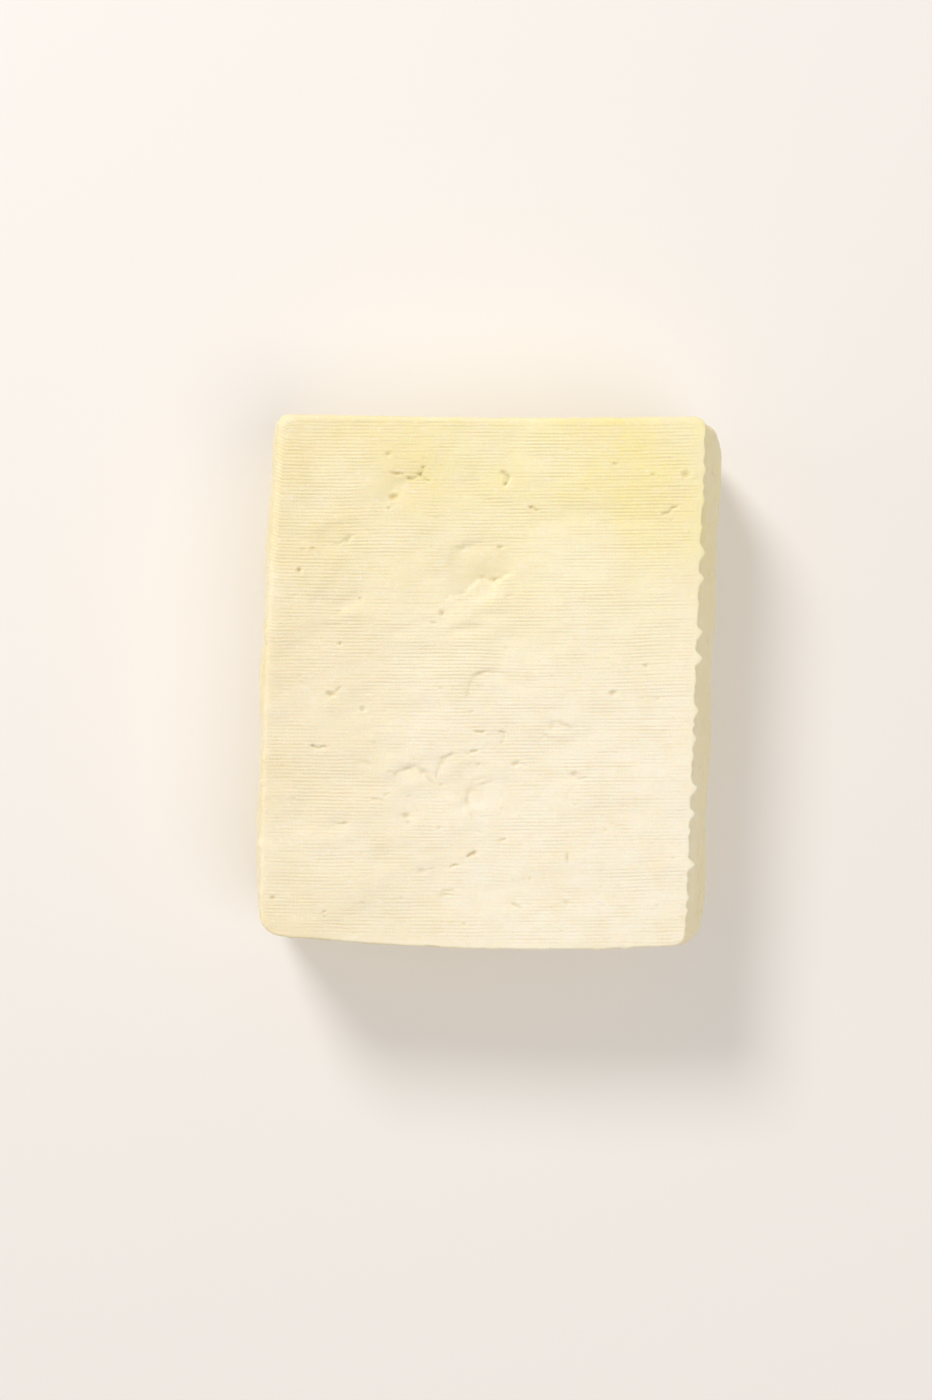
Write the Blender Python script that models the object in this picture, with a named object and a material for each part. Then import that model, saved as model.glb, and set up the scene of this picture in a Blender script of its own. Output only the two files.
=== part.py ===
"""Pressed tofu block: one soft solid with a flat base, bulging sides and a torn skin lip.

Frame: metres, +Z up, origin at the middle of the base. +Y runs along the block's length,
from its bowed near end to its leaning far end, and +X points to the side with the torn lip.
All sizes below are in millimetres and become metres when a vertex is placed.
"""

import math

import bmesh
import bpy
from mathutils import Vector

MM = 0.001  # metres in a millimetre

# Driving dimensions of the block
HEIGHT = 38.0
HALF_WIDTH = 46.5  # middle of the top face to its long edges, nominal
HALF_LENGTH = 57.4  # middle of the top face to its short edges, nominal

# Outline of the top face: how far each edge reaches, and how it leans and bows
LEFT_REACH = 47.2
LEFT_LEAN = 0.5  # the left edge closes in by this much towards the far end
LEFT_BOW = 1.0  # and by this much at both ends
RIGHT_REACH = 46.1
RIGHT_LEAN = 0.75  # the right edge opens by this much towards the far end
NEAR_REACH = 57.7
NEAR_BOW = 2.0  # the near end is an arc, this much shorter at its corners
FAR_REACH = 57.3
FAR_LEAN = 0.9  # the far end rises by this much towards the right
FAR_BOW = -0.55  # and is slightly hollow

# Corner radii of the outline, by side: (right or left, far or near)
CORNER_RADII = {
    (1, 1): 2.6,
    (1, -1): 2.4,
    (-1, 1): 2.4,
    (-1, -1): 4.2,
}

# Shoulder: the rounding between the top face and the sides
SHOULDER_LEFT_FAR = 2.0  # the left shoulder is soft at the far end
SHOULDER_LEFT_NEAR = 1.0  # and tighter at the near end
SHOULDER_RIGHT = 0.5
SHOULDER_NEAR = 0.6
SHOULDER_FAR = 1.2
SHOULDER_BLEND = 0.08  # share of a half side over which two shoulders meet at a corner

# Sides: they bulge out below the top face, most at BELLY_DEPTH, and come in again at the base
BULGE_LEFT = 2.4
BULGE_RIGHT = 5.8
BULGE_NEAR = 1.5
BULGE_FAR = 1.4
BELLY_DEPTH = 0.55  # share of the wall's height, from the top
BASE_SHRINK = 0.2  # share of the bulge lost again at the base
BASE_ROUNDING = 2.2

# A side's bulge tucks in over this length towards the upright corners
TUCK_LENGTH = 9.0
# Share of the bulge lost at a corner, by side: (right or left, far or near)
TUCKS_ALONG_SIDES = {
    (1, 1): 0.85,
    (1, -1): 0.25,
    (-1, 1): 0.5,
    (-1, -1): 0.4,
}
TUCK_ALONG_ENDS = 0.5

# Slow unevenness of the walls
WALL_WAVE = 0.28
WALL_WAVE_LENGTH = 31.0
WALL_WAVE_RISE = 17.0

# Torn lip of skin along the top of the right side: (place along Y, how far it stands out)
LIP_TEETH = (
    (46.5, 0.5),
    (40.5, 0.6),
    (29.0, 0.9),
    (23.3, 1.0),
    (11.8, 1.1),
    (6.2, 1.2),
    (-5.2, 1.0),
    (-11.3, 0.7),
    (-21.9, 1.3),
    (-27.5, 1.0),
    (-38.3, 1.3),
    (-45.5, 0.6),
)
LIP_TOOTH_HALF_LENGTH = 2.4
LIP_TOOTH_SHARPNESS = 1.3
LIP_THICKNESS = 1.6  # the lip has thinned out to nothing this far down the side

# Small teeth along the top of the near end: (place along X, how far they stand out)
NEAR_TEETH = (
    (-9.5, -0.4),
    (26.5, 0.5),
    (32.5, 0.4),
)
NEAR_TOOTH_HALF_LENGTH = 2.2

# Bump on the left side's upper edge: place along Y, how far it stands out, half length
LEFT_BUMP = (-36.2, 0.6, 1.8)

# Top face: slow swell, then dents that are steep on one side and run out on the other
SWELL = 0.22
SWELL_LENGTH_X = 58.0
SWELL_LENGTH_Y = 74.0
SWELL_PHASE_X = 0.7
SWELL_PHASE_Y = -0.4
DENT_RIM = 0.75  # a dent is deepest at this share of its radius, and rises steeply beyond
# Each dent: middle X, middle Y, radius, direction of its steep side in degrees, depth
DENTS = (
    (-3.0, 23.5, 7.0, -40.0, 0.9),
    (-2.0, 25.0, 6.0, 135.0, 0.5),
    (2.0, -4.5, 5.5, 120.0, 0.45),
    (-1.0, -22.5, 6.0, 130.0, 0.55),
    (-17.0, 38.0, 6.5, 110.0, 0.4),
    (-30.0, 27.0, 8.0, 100.0, 0.35),
)
# Each lump: middle X, middle Y, half length along X, half length along Y, height
LUMPS = (
    (-13.5, -22.5, 5.0, 3.5, 0.5),
    (2.5, 15.5, 8.0, 4.0, 0.4),
    (-31.5, -5.5, 4.0, 3.0, 0.35),
    (20.0, -24.0, 9.0, 6.0, 0.3),
    (-25.0, -45.0, 14.0, 7.0, 0.3),
)

# Mesh steps
TOP_COLUMNS = 26
TOP_ROWS = 72
SHOULDER_STEPS = 3
WALL_STEPS = 6
BASE_STEPS = 2


def lerp(low, high, share):
    """Value at a share of the way from low to high."""
    return low + (high - low) * share


def smooth_step(low, high, value):
    """Rise smoothly from 0 at low to 1 at high."""
    share = min(1.0, max(0.0, (value - low) / (high - low)))
    return share * share * (3.0 - 2.0 * share)


def side(value):
    """Return 1 for the right or far side and -1 for the left or near side."""
    return 1 if value >= 0.0 else -1


def left_edge(y):
    lean = y / HALF_LENGTH
    return -(LEFT_REACH - LEFT_LEAN * lean - LEFT_BOW * lean * lean)


def right_edge(y):
    return RIGHT_REACH + RIGHT_LEAN * y / HALF_LENGTH


def near_edge(x):
    across = x / HALF_WIDTH
    return -(NEAR_REACH - NEAR_BOW * across * across)


def far_edge(x):
    across = x / HALF_WIDTH
    return FAR_REACH + FAR_LEAN * across - FAR_BOW * across * across


def round_corner(u, v):
    """Pull a point of the unit square in from its corner, so that the corner is an arc."""
    radius = CORNER_RADII[(side(u), side(v))]
    start_u = 1.0 - radius / HALF_WIDTH
    start_v = 1.0 - radius / HALF_LENGTH
    a = (abs(u) - start_u) / (1.0 - start_u)
    b = (abs(v) - start_v) / (1.0 - start_v)
    if a <= 0.0 or b <= 0.0:
        return u, v
    round_a = a * math.sqrt(1.0 - 0.5 * b * b)
    round_b = b * math.sqrt(1.0 - 0.5 * a * a)
    new_u = start_u + round_a * (1.0 - start_u)
    new_v = start_v + round_b * (1.0 - start_v)
    return side(u) * new_u, side(v) * new_v


def outline_point(u, v):
    """Place a point of the unit square on the top face, in millimetres."""
    u, v = round_corner(u, v)
    straight_y = v * HALF_LENGTH
    x = lerp(left_edge(straight_y), right_edge(straight_y), (u + 1.0) / 2.0)
    y = lerp(near_edge(x), far_edge(x), (v + 1.0) / 2.0)
    return x, y


def tooth(distance, half_length):
    """A pointed tooth, 1 high, with hollow flanks."""
    return max(0.0, 1.0 - abs(distance) / half_length) ** LIP_TOOTH_SHARPNESS


def edge_details(x, y, u, v):
    """How far the torn lip, the near teeth and the left bump stand out along X and Y."""
    out_x = 0.0
    out_y = 0.0
    if u == 1.0:
        for place, reach in LIP_TEETH:
            out_x += reach * tooth(y - place, LIP_TOOTH_HALF_LENGTH)
    if u == -1.0:
        place, reach, half_length = LEFT_BUMP
        out_x -= reach * tooth(y - place, half_length)
    if v == -1.0:
        for place, reach in NEAR_TEETH:
            out_y -= reach * tooth(x - place, NEAR_TOOTH_HALF_LENGTH)
    return out_x, out_y


def shoulder_sizes(u, v):
    """Shoulder radius of the long side and of the end that are nearest."""
    left = lerp(SHOULDER_LEFT_NEAR, SHOULDER_LEFT_FAR, (v + 1.0) / 2.0)
    along_x = SHOULDER_RIGHT if u >= 0.0 else left
    along_y = SHOULDER_FAR if v >= 0.0 else SHOULDER_NEAR
    return along_x, along_y


def shoulder_drop(u, v):
    """Shoulder radius of a point on the edge, blended where two shoulders meet."""
    along_x, along_y = shoulder_sizes(u, v)
    share = smooth_step(-SHOULDER_BLEND, SHOULDER_BLEND, abs(u) - abs(v))
    return lerp(along_y, along_x, share)


def tuck(place, half_length, lost):
    """Share of a side's bulge that is left at a place along it, measured from its middle."""
    into = min(1.0, max(0.0, 1.0 - (half_length - abs(place)) / TUCK_LENGTH))
    return 1.0 - lost * (1.0 - math.sqrt(1.0 - into * into))


def bulges(u, v):
    """Bulge of the long side and of the end that are nearest."""
    lost = TUCKS_ALONG_SIDES[(side(u), side(v))]
    along_x = BULGE_RIGHT if u >= 0.0 else BULGE_LEFT
    along_y = BULGE_FAR if v >= 0.0 else BULGE_NEAR
    along_x *= tuck(v * HALF_LENGTH, HALF_LENGTH, lost)
    along_y *= tuck(u * HALF_WIDTH, HALF_WIDTH, TUCK_ALONG_ENDS)
    return along_x, along_y


def dent_depth(x, y, dent):
    """Depth of one dent: deepest just inside its steep side, running out the other way."""
    middle_x, middle_y, radius, direction, depth = dent
    dx = x - middle_x
    dy = y - middle_y
    distance = math.hypot(dx, dy) / radius
    if distance >= 1.0:
        return 0.0
    turn = math.atan2(dy, dx) - math.radians(direction)
    facing = max(0.0, math.cos(turn))
    rim = 1.0 - smooth_step(DENT_RIM, 1.0, distance)
    return depth * rim * smooth_step(0.0, DENT_RIM, distance) * facing


def lump_height(x, y, lump):
    """Height of one low round lump."""
    middle_x, middle_y, half_x, half_y, height = lump
    distance = math.hypot((x - middle_x) / half_x, (y - middle_y) / half_y)
    return height * (1.0 - smooth_step(0.0, 1.0, distance))


def relief(x, y):
    """Height of the top face above or below its level."""
    swell_x = math.sin(2.0 * math.pi * x / SWELL_LENGTH_X + SWELL_PHASE_X)
    swell_y = math.cos(2.0 * math.pi * y / SWELL_LENGTH_Y + SWELL_PHASE_Y)
    height = SWELL * (swell_x * swell_y - 1.0)
    height -= sum(dent_depth(x, y, dent) for dent in DENTS)
    height += sum(lump_height(x, y, lump) for lump in LUMPS)
    return height


def wall_wave(x, y, depth):
    """Slow unevenness of the walls, from place and depth."""
    along = 2.0 * math.pi * (x + y) / WALL_WAVE_LENGTH
    down = 2.0 * math.pi * depth / WALL_WAVE_RISE
    return WALL_WAVE * math.sin(along + math.sin(down)) * math.sin(math.pi * depth / HEIGHT)


def set_out(u, v, out_x, out_y):
    """Outline point moved outwards by out_x on the long sides and by out_y on the ends."""
    x, y = outline_point(u, v)
    return x + out_x * u, y + out_y * v


def top_point(u, v):
    """A vertex of the top face, which ends where the shoulders start."""
    along_x, along_y = shoulder_sizes(u, v)
    x, y = set_out(u, v, -along_x, -along_y)
    return Vector((x, y, HEIGHT + relief(x, y)))


def shoulder_ring(edge, angle):
    """Ring over the shoulder at an angle, 0 at the top face and 90 degrees at the wall."""
    points = []
    for u, v, start in edge:
        along_x, along_y = shoulder_sizes(u, v)
        inward = 1.0 - math.sin(angle)
        x, y = set_out(u, v, -along_x * inward, -along_y * inward)
        lip_x, lip_y = edge_details(x, y, u, v)
        drop = shoulder_drop(u, v) * (1.0 - math.cos(angle))
        share = math.sin(angle)
        points.append(Vector((x + lip_x * share, y + lip_y * share, start.z - drop)))
    return points


def wall_ring(edge, share):
    """Ring down the wall at a share of its height, 0 at the shoulder and 1 at the base."""
    if share < BELLY_DEPTH:
        swelling = math.sin(0.5 * math.pi * share / BELLY_DEPTH)
    else:
        below = (share - BELLY_DEPTH) / (1.0 - BELLY_DEPTH)
        swelling = 1.0 - BASE_SHRINK * below * below
    points = []
    for u, v, start in edge:
        bulge_x, bulge_y = bulges(u, v)
        top = start.z - shoulder_drop(u, v)
        z = lerp(top, BASE_ROUNDING, share)
        x, y = set_out(u, v, bulge_x * swelling, bulge_y * swelling)
        lip_x, lip_y = edge_details(x, y, u, v)
        thinning = max(0.0, 1.0 - (top - z) / LIP_THICKNESS)
        wave = wall_wave(x, y, HEIGHT - z)
        x += lip_x * thinning + wave * u
        y += lip_y * thinning + wave * v
        points.append(Vector((x, y, z)))
    return points


def base_ring(wall_foot, edge, angle):
    """Ring under the wall at an angle, 0 at the wall's foot and 90 degrees at the base."""
    inward = BASE_ROUNDING * (1.0 - math.cos(angle))
    z = BASE_ROUNDING * (1.0 - math.sin(angle))
    points = []
    for foot, (u, v, _) in zip(wall_foot, edge):
        points.append(Vector((foot.x - inward * u, foot.y - inward * v, z)))
    return points


def edge_parameters():
    """Unit-square places round the edge of the top grid, anticlockwise from the near left."""
    steps_u = [lerp(-1.0, 1.0, i / TOP_COLUMNS) for i in range(TOP_COLUMNS + 1)]
    steps_v = [lerp(-1.0, 1.0, j / TOP_ROWS) for j in range(TOP_ROWS + 1)]
    near = [(u, -1.0) for u in steps_u[:-1]]
    right = [(1.0, v) for v in steps_v[:-1]]
    far = [(u, 1.0) for u in reversed(steps_u[1:])]
    left = [(-1.0, v) for v in reversed(steps_v[1:])]
    return near + right + far + left


def ring_heights():
    """Every ring below the top face, as (kind, value), from the shoulder to the base."""
    quarter = 0.5 * math.pi
    rings = [("shoulder", quarter * (i + 1) / SHOULDER_STEPS) for i in range(SHOULDER_STEPS)]
    rings += [("wall", LIP_THICKNESS / HEIGHT)]
    rings += [("wall", (i + 1) / WALL_STEPS) for i in range(WALL_STEPS)]
    rings += [("base", quarter * (i + 1) / BASE_STEPS) for i in range(BASE_STEPS)]
    return rings


def build_mesh():
    """Closed mesh of the block: top grid, shoulder, wall and base rings, flat base."""
    shape = bmesh.new()
    grid = {}
    for i in range(TOP_COLUMNS + 1):
        for j in range(TOP_ROWS + 1):
            u = lerp(-1.0, 1.0, i / TOP_COLUMNS)
            v = lerp(-1.0, 1.0, j / TOP_ROWS)
            grid[(u, v)] = shape.verts.new(top_point(u, v))
    for i in range(TOP_COLUMNS):
        for j in range(TOP_ROWS):
            left = lerp(-1.0, 1.0, i / TOP_COLUMNS)
            right = lerp(-1.0, 1.0, (i + 1) / TOP_COLUMNS)
            near = lerp(-1.0, 1.0, j / TOP_ROWS)
            far = lerp(-1.0, 1.0, (j + 1) / TOP_ROWS)
            corners = ((left, near), (right, near), (right, far), (left, far))
            shape.faces.new([grid[corner] for corner in corners])

    edge = [(u, v, grid[(u, v)].co.copy()) for u, v in edge_parameters()]
    above = [grid[(u, v)] for u, v in edge_parameters()]
    wall_foot = wall_ring(edge, 1.0)
    for kind, value in ring_heights():
        if kind == "shoulder":
            points = shoulder_ring(edge, value)
        elif kind == "wall":
            points = wall_ring(edge, value)
        else:
            points = base_ring(wall_foot, edge, value)
        below = [shape.verts.new(point) for point in points]
        for i in range(len(below)):
            after = (i + 1) % len(below)
            shape.faces.new((above[i], below[i], below[after], above[after]))
        above = below
    shape.faces.new(list(reversed(above)))
    return shape


def centre_on_base(shape):
    """Put the middle of the bounding box on X = Y = 0 and turn millimetres into metres."""
    middle = Vector((0.0, 0.0, 0.0))
    for axis in (0, 1):
        places = [vert.co[axis] for vert in shape.verts]
        middle[axis] = 0.5 * (min(places) + max(places))
    for vert in shape.verts:
        vert.co = (vert.co - middle) * MM


def tofu_material():
    """Fresh pressed tofu: warm white, moist but not glossy."""
    material = bpy.data.materials.new("tofu")
    material.use_nodes = True
    shader = material.node_tree.nodes["Principled BSDF"]
    shader.inputs["Base Color"].default_value = (0.92, 0.83, 0.64, 1.0)
    shader.inputs["Roughness"].default_value = 0.55
    shader.inputs["Metallic"].default_value = 0.0
    return material


def build_block():
    """The tofu block as one object."""
    shape = build_mesh()
    centre_on_base(shape)
    bmesh.ops.recalc_face_normals(shape, faces=shape.faces)
    mesh = bpy.data.meshes.new("tofu_block")
    shape.to_mesh(mesh)
    shape.free()
    mesh.shade_smooth()
    mesh.materials.append(tofu_material())
    block = bpy.data.objects.new("tofu_block", mesh)
    bpy.context.scene.collection.objects.link(block)
    return block


def clear_scene():
    for existing in list(bpy.data.objects):
        bpy.data.objects.remove(existing, do_unlink=True)


clear_scene()
build_block()
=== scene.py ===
"""Looks of the pressed tofu block: cloth-marked skin, pits and cracks, torn lip and porous sides.

The block is one closed mesh that stands for the CAD node. Its outline, shoulders and bulging sides
follow the same named sizes as the CAD solid, and the mesh is then fitted to the CAD node's box.
Shapes are in millimetres, with +X to the right side, which has the torn lip, and +Y to the far
end. Rows of vertices on the top face run along the cloth ridges, four rows to a ridge.
"""

import math

import bpy
import numpy as np
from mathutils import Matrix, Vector


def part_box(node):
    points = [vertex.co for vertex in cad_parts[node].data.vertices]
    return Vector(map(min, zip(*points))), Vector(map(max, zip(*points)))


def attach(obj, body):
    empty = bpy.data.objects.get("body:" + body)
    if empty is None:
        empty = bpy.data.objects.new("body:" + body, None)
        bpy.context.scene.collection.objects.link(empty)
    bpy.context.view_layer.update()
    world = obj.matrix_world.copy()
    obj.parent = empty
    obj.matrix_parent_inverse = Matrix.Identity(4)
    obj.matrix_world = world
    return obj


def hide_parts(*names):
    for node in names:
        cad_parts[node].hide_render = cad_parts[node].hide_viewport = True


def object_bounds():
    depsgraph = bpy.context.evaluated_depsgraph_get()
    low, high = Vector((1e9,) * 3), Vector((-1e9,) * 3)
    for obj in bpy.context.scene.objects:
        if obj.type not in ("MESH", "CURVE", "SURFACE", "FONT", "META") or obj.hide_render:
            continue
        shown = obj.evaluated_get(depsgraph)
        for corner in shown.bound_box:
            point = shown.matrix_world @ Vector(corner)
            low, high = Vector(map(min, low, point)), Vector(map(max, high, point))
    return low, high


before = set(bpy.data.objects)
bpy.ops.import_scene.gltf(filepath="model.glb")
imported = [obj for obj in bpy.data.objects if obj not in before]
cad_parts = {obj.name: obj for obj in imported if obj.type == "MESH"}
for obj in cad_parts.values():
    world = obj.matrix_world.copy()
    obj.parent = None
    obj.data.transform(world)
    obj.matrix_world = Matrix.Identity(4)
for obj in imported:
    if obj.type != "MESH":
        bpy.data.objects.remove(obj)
CAD_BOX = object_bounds()

NODE = "tofu_block"
MM = 0.001
TAU = 2.0 * math.pi

# ---- sizes shared with the CAD solid
HEIGHT = 38.0
HALF_WIDTH = 46.5
HALF_LENGTH = 57.4

LEFT_REACH = 47.2
LEFT_LEAN = 0.5
LEFT_BOW = 1.0
RIGHT_REACH = 46.1
RIGHT_LEAN = 0.75
NEAR_REACH = 57.7
NEAR_BOW = 2.0
FAR_REACH = 57.3
FAR_LEAN = 0.9
FAR_BOW = -0.55

# By corner: right far, right near, left far, left near
CORNER_RADII = (2.6, 2.4, 2.4, 4.2)

SHOULDER_LEFT_FAR = 2.0
SHOULDER_LEFT_NEAR = 1.0
SHOULDER_RIGHT = 0.5
SHOULDER_NEAR = 0.6
SHOULDER_FAR = 1.2
SHOULDER_BLEND = 0.08

BULGE_LEFT = 2.4
BULGE_RIGHT = 5.8
BULGE_NEAR = 1.5
BULGE_FAR = 1.4
BELLY_DEPTH = 0.55
BASE_SHRINK = 0.2
BASE_ROUNDING = 2.2

# A bulge tucks in towards the upright corners over this length, by these shares: on the long
# sides by corner, in the order above, and on the ends by one share
TUCK_LENGTH = 9.0
TUCKS = (0.85, 0.25, 0.5, 0.4)
TUCK_ENDS = 0.5

WALL_WAVE = 0.28
WALL_WAVE_LENGTH = 31.0
WALL_WAVE_RISE = 17.0

# ---- upper edges, in finer detail than the CAD solid's
# Teeth of the torn lip: place along the edge, how far they stand out, half length
LIP_TEETH = (
    (50.5, 0.3, 1.2), (46.5, 0.5, 2.2), (43.2, 0.25, 1.0), (40.5, 0.6, 2.0), (34.5, 0.35, 1.6),
    (29.0, 0.9, 2.2), (23.3, 1.0, 2.0), (18.2, 0.25, 1.2), (11.8, 1.1, 2.0), (6.2, 1.2, 2.0),
    (1.5, 0.3, 1.5), (-5.2, 1.0, 2.2), (-8.3, 0.4, 0.8), (-11.3, 0.7, 1.8), (-15.0, 0.3, 1.6),
    (-21.9, 1.3, 2.0), (-27.5, 1.0, 1.6), (-31.2, 0.35, 1.0), (-38.3, 1.3, 1.8),
    (-41.8, 0.25, 0.9), (-45.5, 0.6, 1.5), (-48.5, 0.5, 1.3),
)
# Teeth and nicks of the near end, and bumps of the left side's upper edge, in the same way
NEAR_TEETH = (
    (-40.0, 0.2, 1.2), (-33.0, -0.25, 1.0), (-9.5, -0.4, 1.8), (-6.8, 0.25, 0.8), (4.0, 0.2, 1.2),
    (15.0, 0.25, 1.0), (26.5, 0.5, 2.0), (29.0, 0.25, 0.7), (32.5, 0.4, 1.4), (39.0, 0.2, 1.0),
)
LEFT_BUMPS = ((-36.2, 0.6, 1.8), (-23.0, 0.3, 1.2), (-47.0, 0.25, 1.5), (9.0, 0.2, 2.0))
TOOTH_SHARPNESS = 1.5
TOOTH_ROUNDING = 1.6
# Fray of all edges, in layers of noise (size, reach, seed), and its share away from the torn lip
FRAY = ((1.3, 0.15, 41), (0.55, 0.10, 42))
FRAY_ELSEWHERE = 0.6
# The lip starts at this share of the half width, thins out downwards and overhangs
LIP_START = 0.97
LIP_THICKNESS = 0.9
LIP_UNDERCUT = 0.35
LIP_UNDERCUT_SPREAD = 0.7
# Painted shade under the lip's overhang
LIP_UNDERCUT_PAINTED_SHADE = 0.5
LIP_SKIN = 0.3

# ---- swell, dents and lumps of the top face, near the CAD solid's
SWELL = 0.22
SWELL_LENGTH_X = 58.0
SWELL_LENGTH_Y = 74.0
SWELL_PHASE_X = 0.7
SWELL_PHASE_Y = -0.4
DENT_RIM = 0.75  # share of the radius at which a dent is deepest
# Dents: middle X, middle Y, radius, direction of the steep side in degrees, depth
DENTS = (
    (-3.0, 23.5, 7.0, -40.0, 0.55), (-2.0, 25.0, 6.0, 135.0, 0.45),
    (2.2, -1.9, 5.5, 120.0, 0.25), (-1.0, -22.5, 6.0, 130.0, 0.3),
    (-17.0, 38.0, 6.5, 110.0, 0.3), (-30.0, 27.0, 8.0, 100.0, 0.3),
)
# Lumps: middle X, middle Y, half X, half Y, height
LUMPS = (
    (-13.5, -22.5, 5.0, 3.5, 0.4), (-4.0, 14.4, 4.6, 3.6, 0.32),
    (1.6, 17.0, 5.4, 3.4, 0.36), (-31.5, -5.5, 4.0, 3.0, 0.3),
    (20.0, -24.0, 9.0, 6.0, 0.3), (-25.0, -45.0, 14.0, 7.0, 0.3),
)

# ---- soft forms of the top face
# Unevenness, longer along X, in layers of noise (size, height, seed)
UNEVENNESS = ((8.0, 0.20, 11), (4.0, 0.12, 12), (2.0, 0.048, 13), (1.0, 0.020, 14))
UNEVENNESS_STRETCH = 1.5
# Share of it that is lost towards the right, and share gained between the far and near ends
UNEVENNESS_LOST = 0.50
UNEVENNESS_LOST_X = (-5.0, 35.0)
UNEVENNESS_GAINED = 0.35
UNEVENNESS_GAINED_FAR = (32.0, 14.0)
UNEVENNESS_GAINED_NEAR = (-52.0, -38.0)
# Soft hollows and rises: middle X, middle Y, half X, half Y, height, how much painted shade
HOLLOWS = (
    (25.0, 36.4, 18.0, 2.7, -0.4, 0.03), (-18.0, 43.8, 7.0, 2.4, -0.16, 0.03),
    (-30.8, 16.6, 4.4, 1.8, -0.55, 0.06), (-27.0, 13.6, 4.2, 1.6, 0.34, 0.0),
    (-39.5, 30.0, 5.0, 2.2, -0.22, 0.02), (-42.5, 42.0, 4.0, 4.0, 0.2, 0.0),
    (-0.2, 22.6, 5.4, 2.6, -0.3, 0.0), (-3.6, 10.8, 2.6, 1.4, -0.34, 0.04),
    (1.8, 14.0, 4.0, 1.2, -0.3, 0.04), (-8.5, -23.4, 11.5, 4.0, -0.48, 0.04),
    (20.6, -20.4, 3.0, 1.3, -0.34, 0.05), (-30.2, -31.9, 2.8, 1.3, -0.42, 0.08),
    (-14.8, -20.7, 3.6, 1.2, -0.26, 0.05), (-15.6, -30.4, 1.7, 1.6, -0.22, 0.06),
    (-35.0, -15.0, 2.4, 1.0, -0.18, 0.04), (-32.0, -4.6, 2.6, 1.6, -0.18, 0.04),
    (12.0, -46.0, 7.0, 3.0, -0.16, 0.03), (6.5, 51.0, 2.4, 3.4, -0.22, 0.03),
    (-38.0, 6.5, 6.0, 2.6, -0.18, 0.02), (16.8, -10.8, 2.2, 1.2, 0.36, 0.0),
)
HOLLOW_WANDER_X = ((5.0, 1.6, 71),)
HOLLOW_WANDER_Y = ((5.0, 0.9, 72),)
# Patches where the curd shows as soft lumps: middle X, middle Y, half X, half Y, height
CURD_PATCHES = (
    (-6.0, -25.0, 15.0, 9.0, 0.3), (-8.3, -28.6, 5.5, 3.6, 0.1),
    (-2.0, 22.5, 7.0, 6.0, 0.34), (-18.5, 40.0, 8.0, 5.0, 0.16),
    (-30.0, -8.0, 9.0, 7.0, 0.14), (4.0, -43.0, 20.0, 8.0, 0.16),
    (30.0, -30.0, 10.0, 6.0, 0.12),
)
CURD_LUMPS = ((4.4, 1.0, 61), (1.76, 0.3, 62))
CURD_LEVEL = 0.3
CURD_CALM = 0.75
CURD_CALM_PATCHES = (1.0, 1.0, 3.6, 63, 0.2, 1.6)
RELIEF_LEVEL = 0.10

# ---- cloth ridges on the top face
RIDGE_PITCH = 0.8
ROWS_PER_RIDGE = 4
RIDGE_DEPTH = 0.058
RIDGE_SHARPNESS = 0.25
RIDGE_LEAN = 0.026
RIDGE_BOW = 0.4
RIDGE_WANDER = ((16.0, 0.22, 31),)
RIDGE_JITTER = 0.8
JITTER_SEED = 34
# Strength: level, patches in layers of noise (size, share, seed), dashes, and the limit
RIDGE_LEVEL = 0.90
RIDGE_PATCHES = ((7.0, 0.45, 32), (2.6, 0.35, 35))
RIDGE_DASHES = 0.85
RIDGE_LIMIT = 1.6
DASHES_PER_MM = 0.26
DASHES_LOST = 0.0014
DASH_SEED = 33
# Share gained at the far right, and share lost at the near end
RIDGE_GAINED = 0.24
RIDGE_GAINED_X = (-20.0, 40.0)
RIDGE_GAINED_Y = (10.0, 40.0)
RIDGE_LOST = 0.10
RIDGE_LOST_Y = (20.0, -50.0)
# Where the ridges run out at the right, left, near and far edges
RIDGE_RIGHT = (46.2, 43.5)
RIDGE_LEFT = (-46.6, -44.5)
RIDGE_NEAR = (-57.0, -54.5)
RIDGE_FAR = (57.4, 55.6)
# Rows of vertices, and the band in which they bend from the ridges to the ends' outline
ROW_FIRST = -58.0
ROW_LAST = 57.6
END_BAND = 12.0
ROW_ROUNDS = 5

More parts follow.
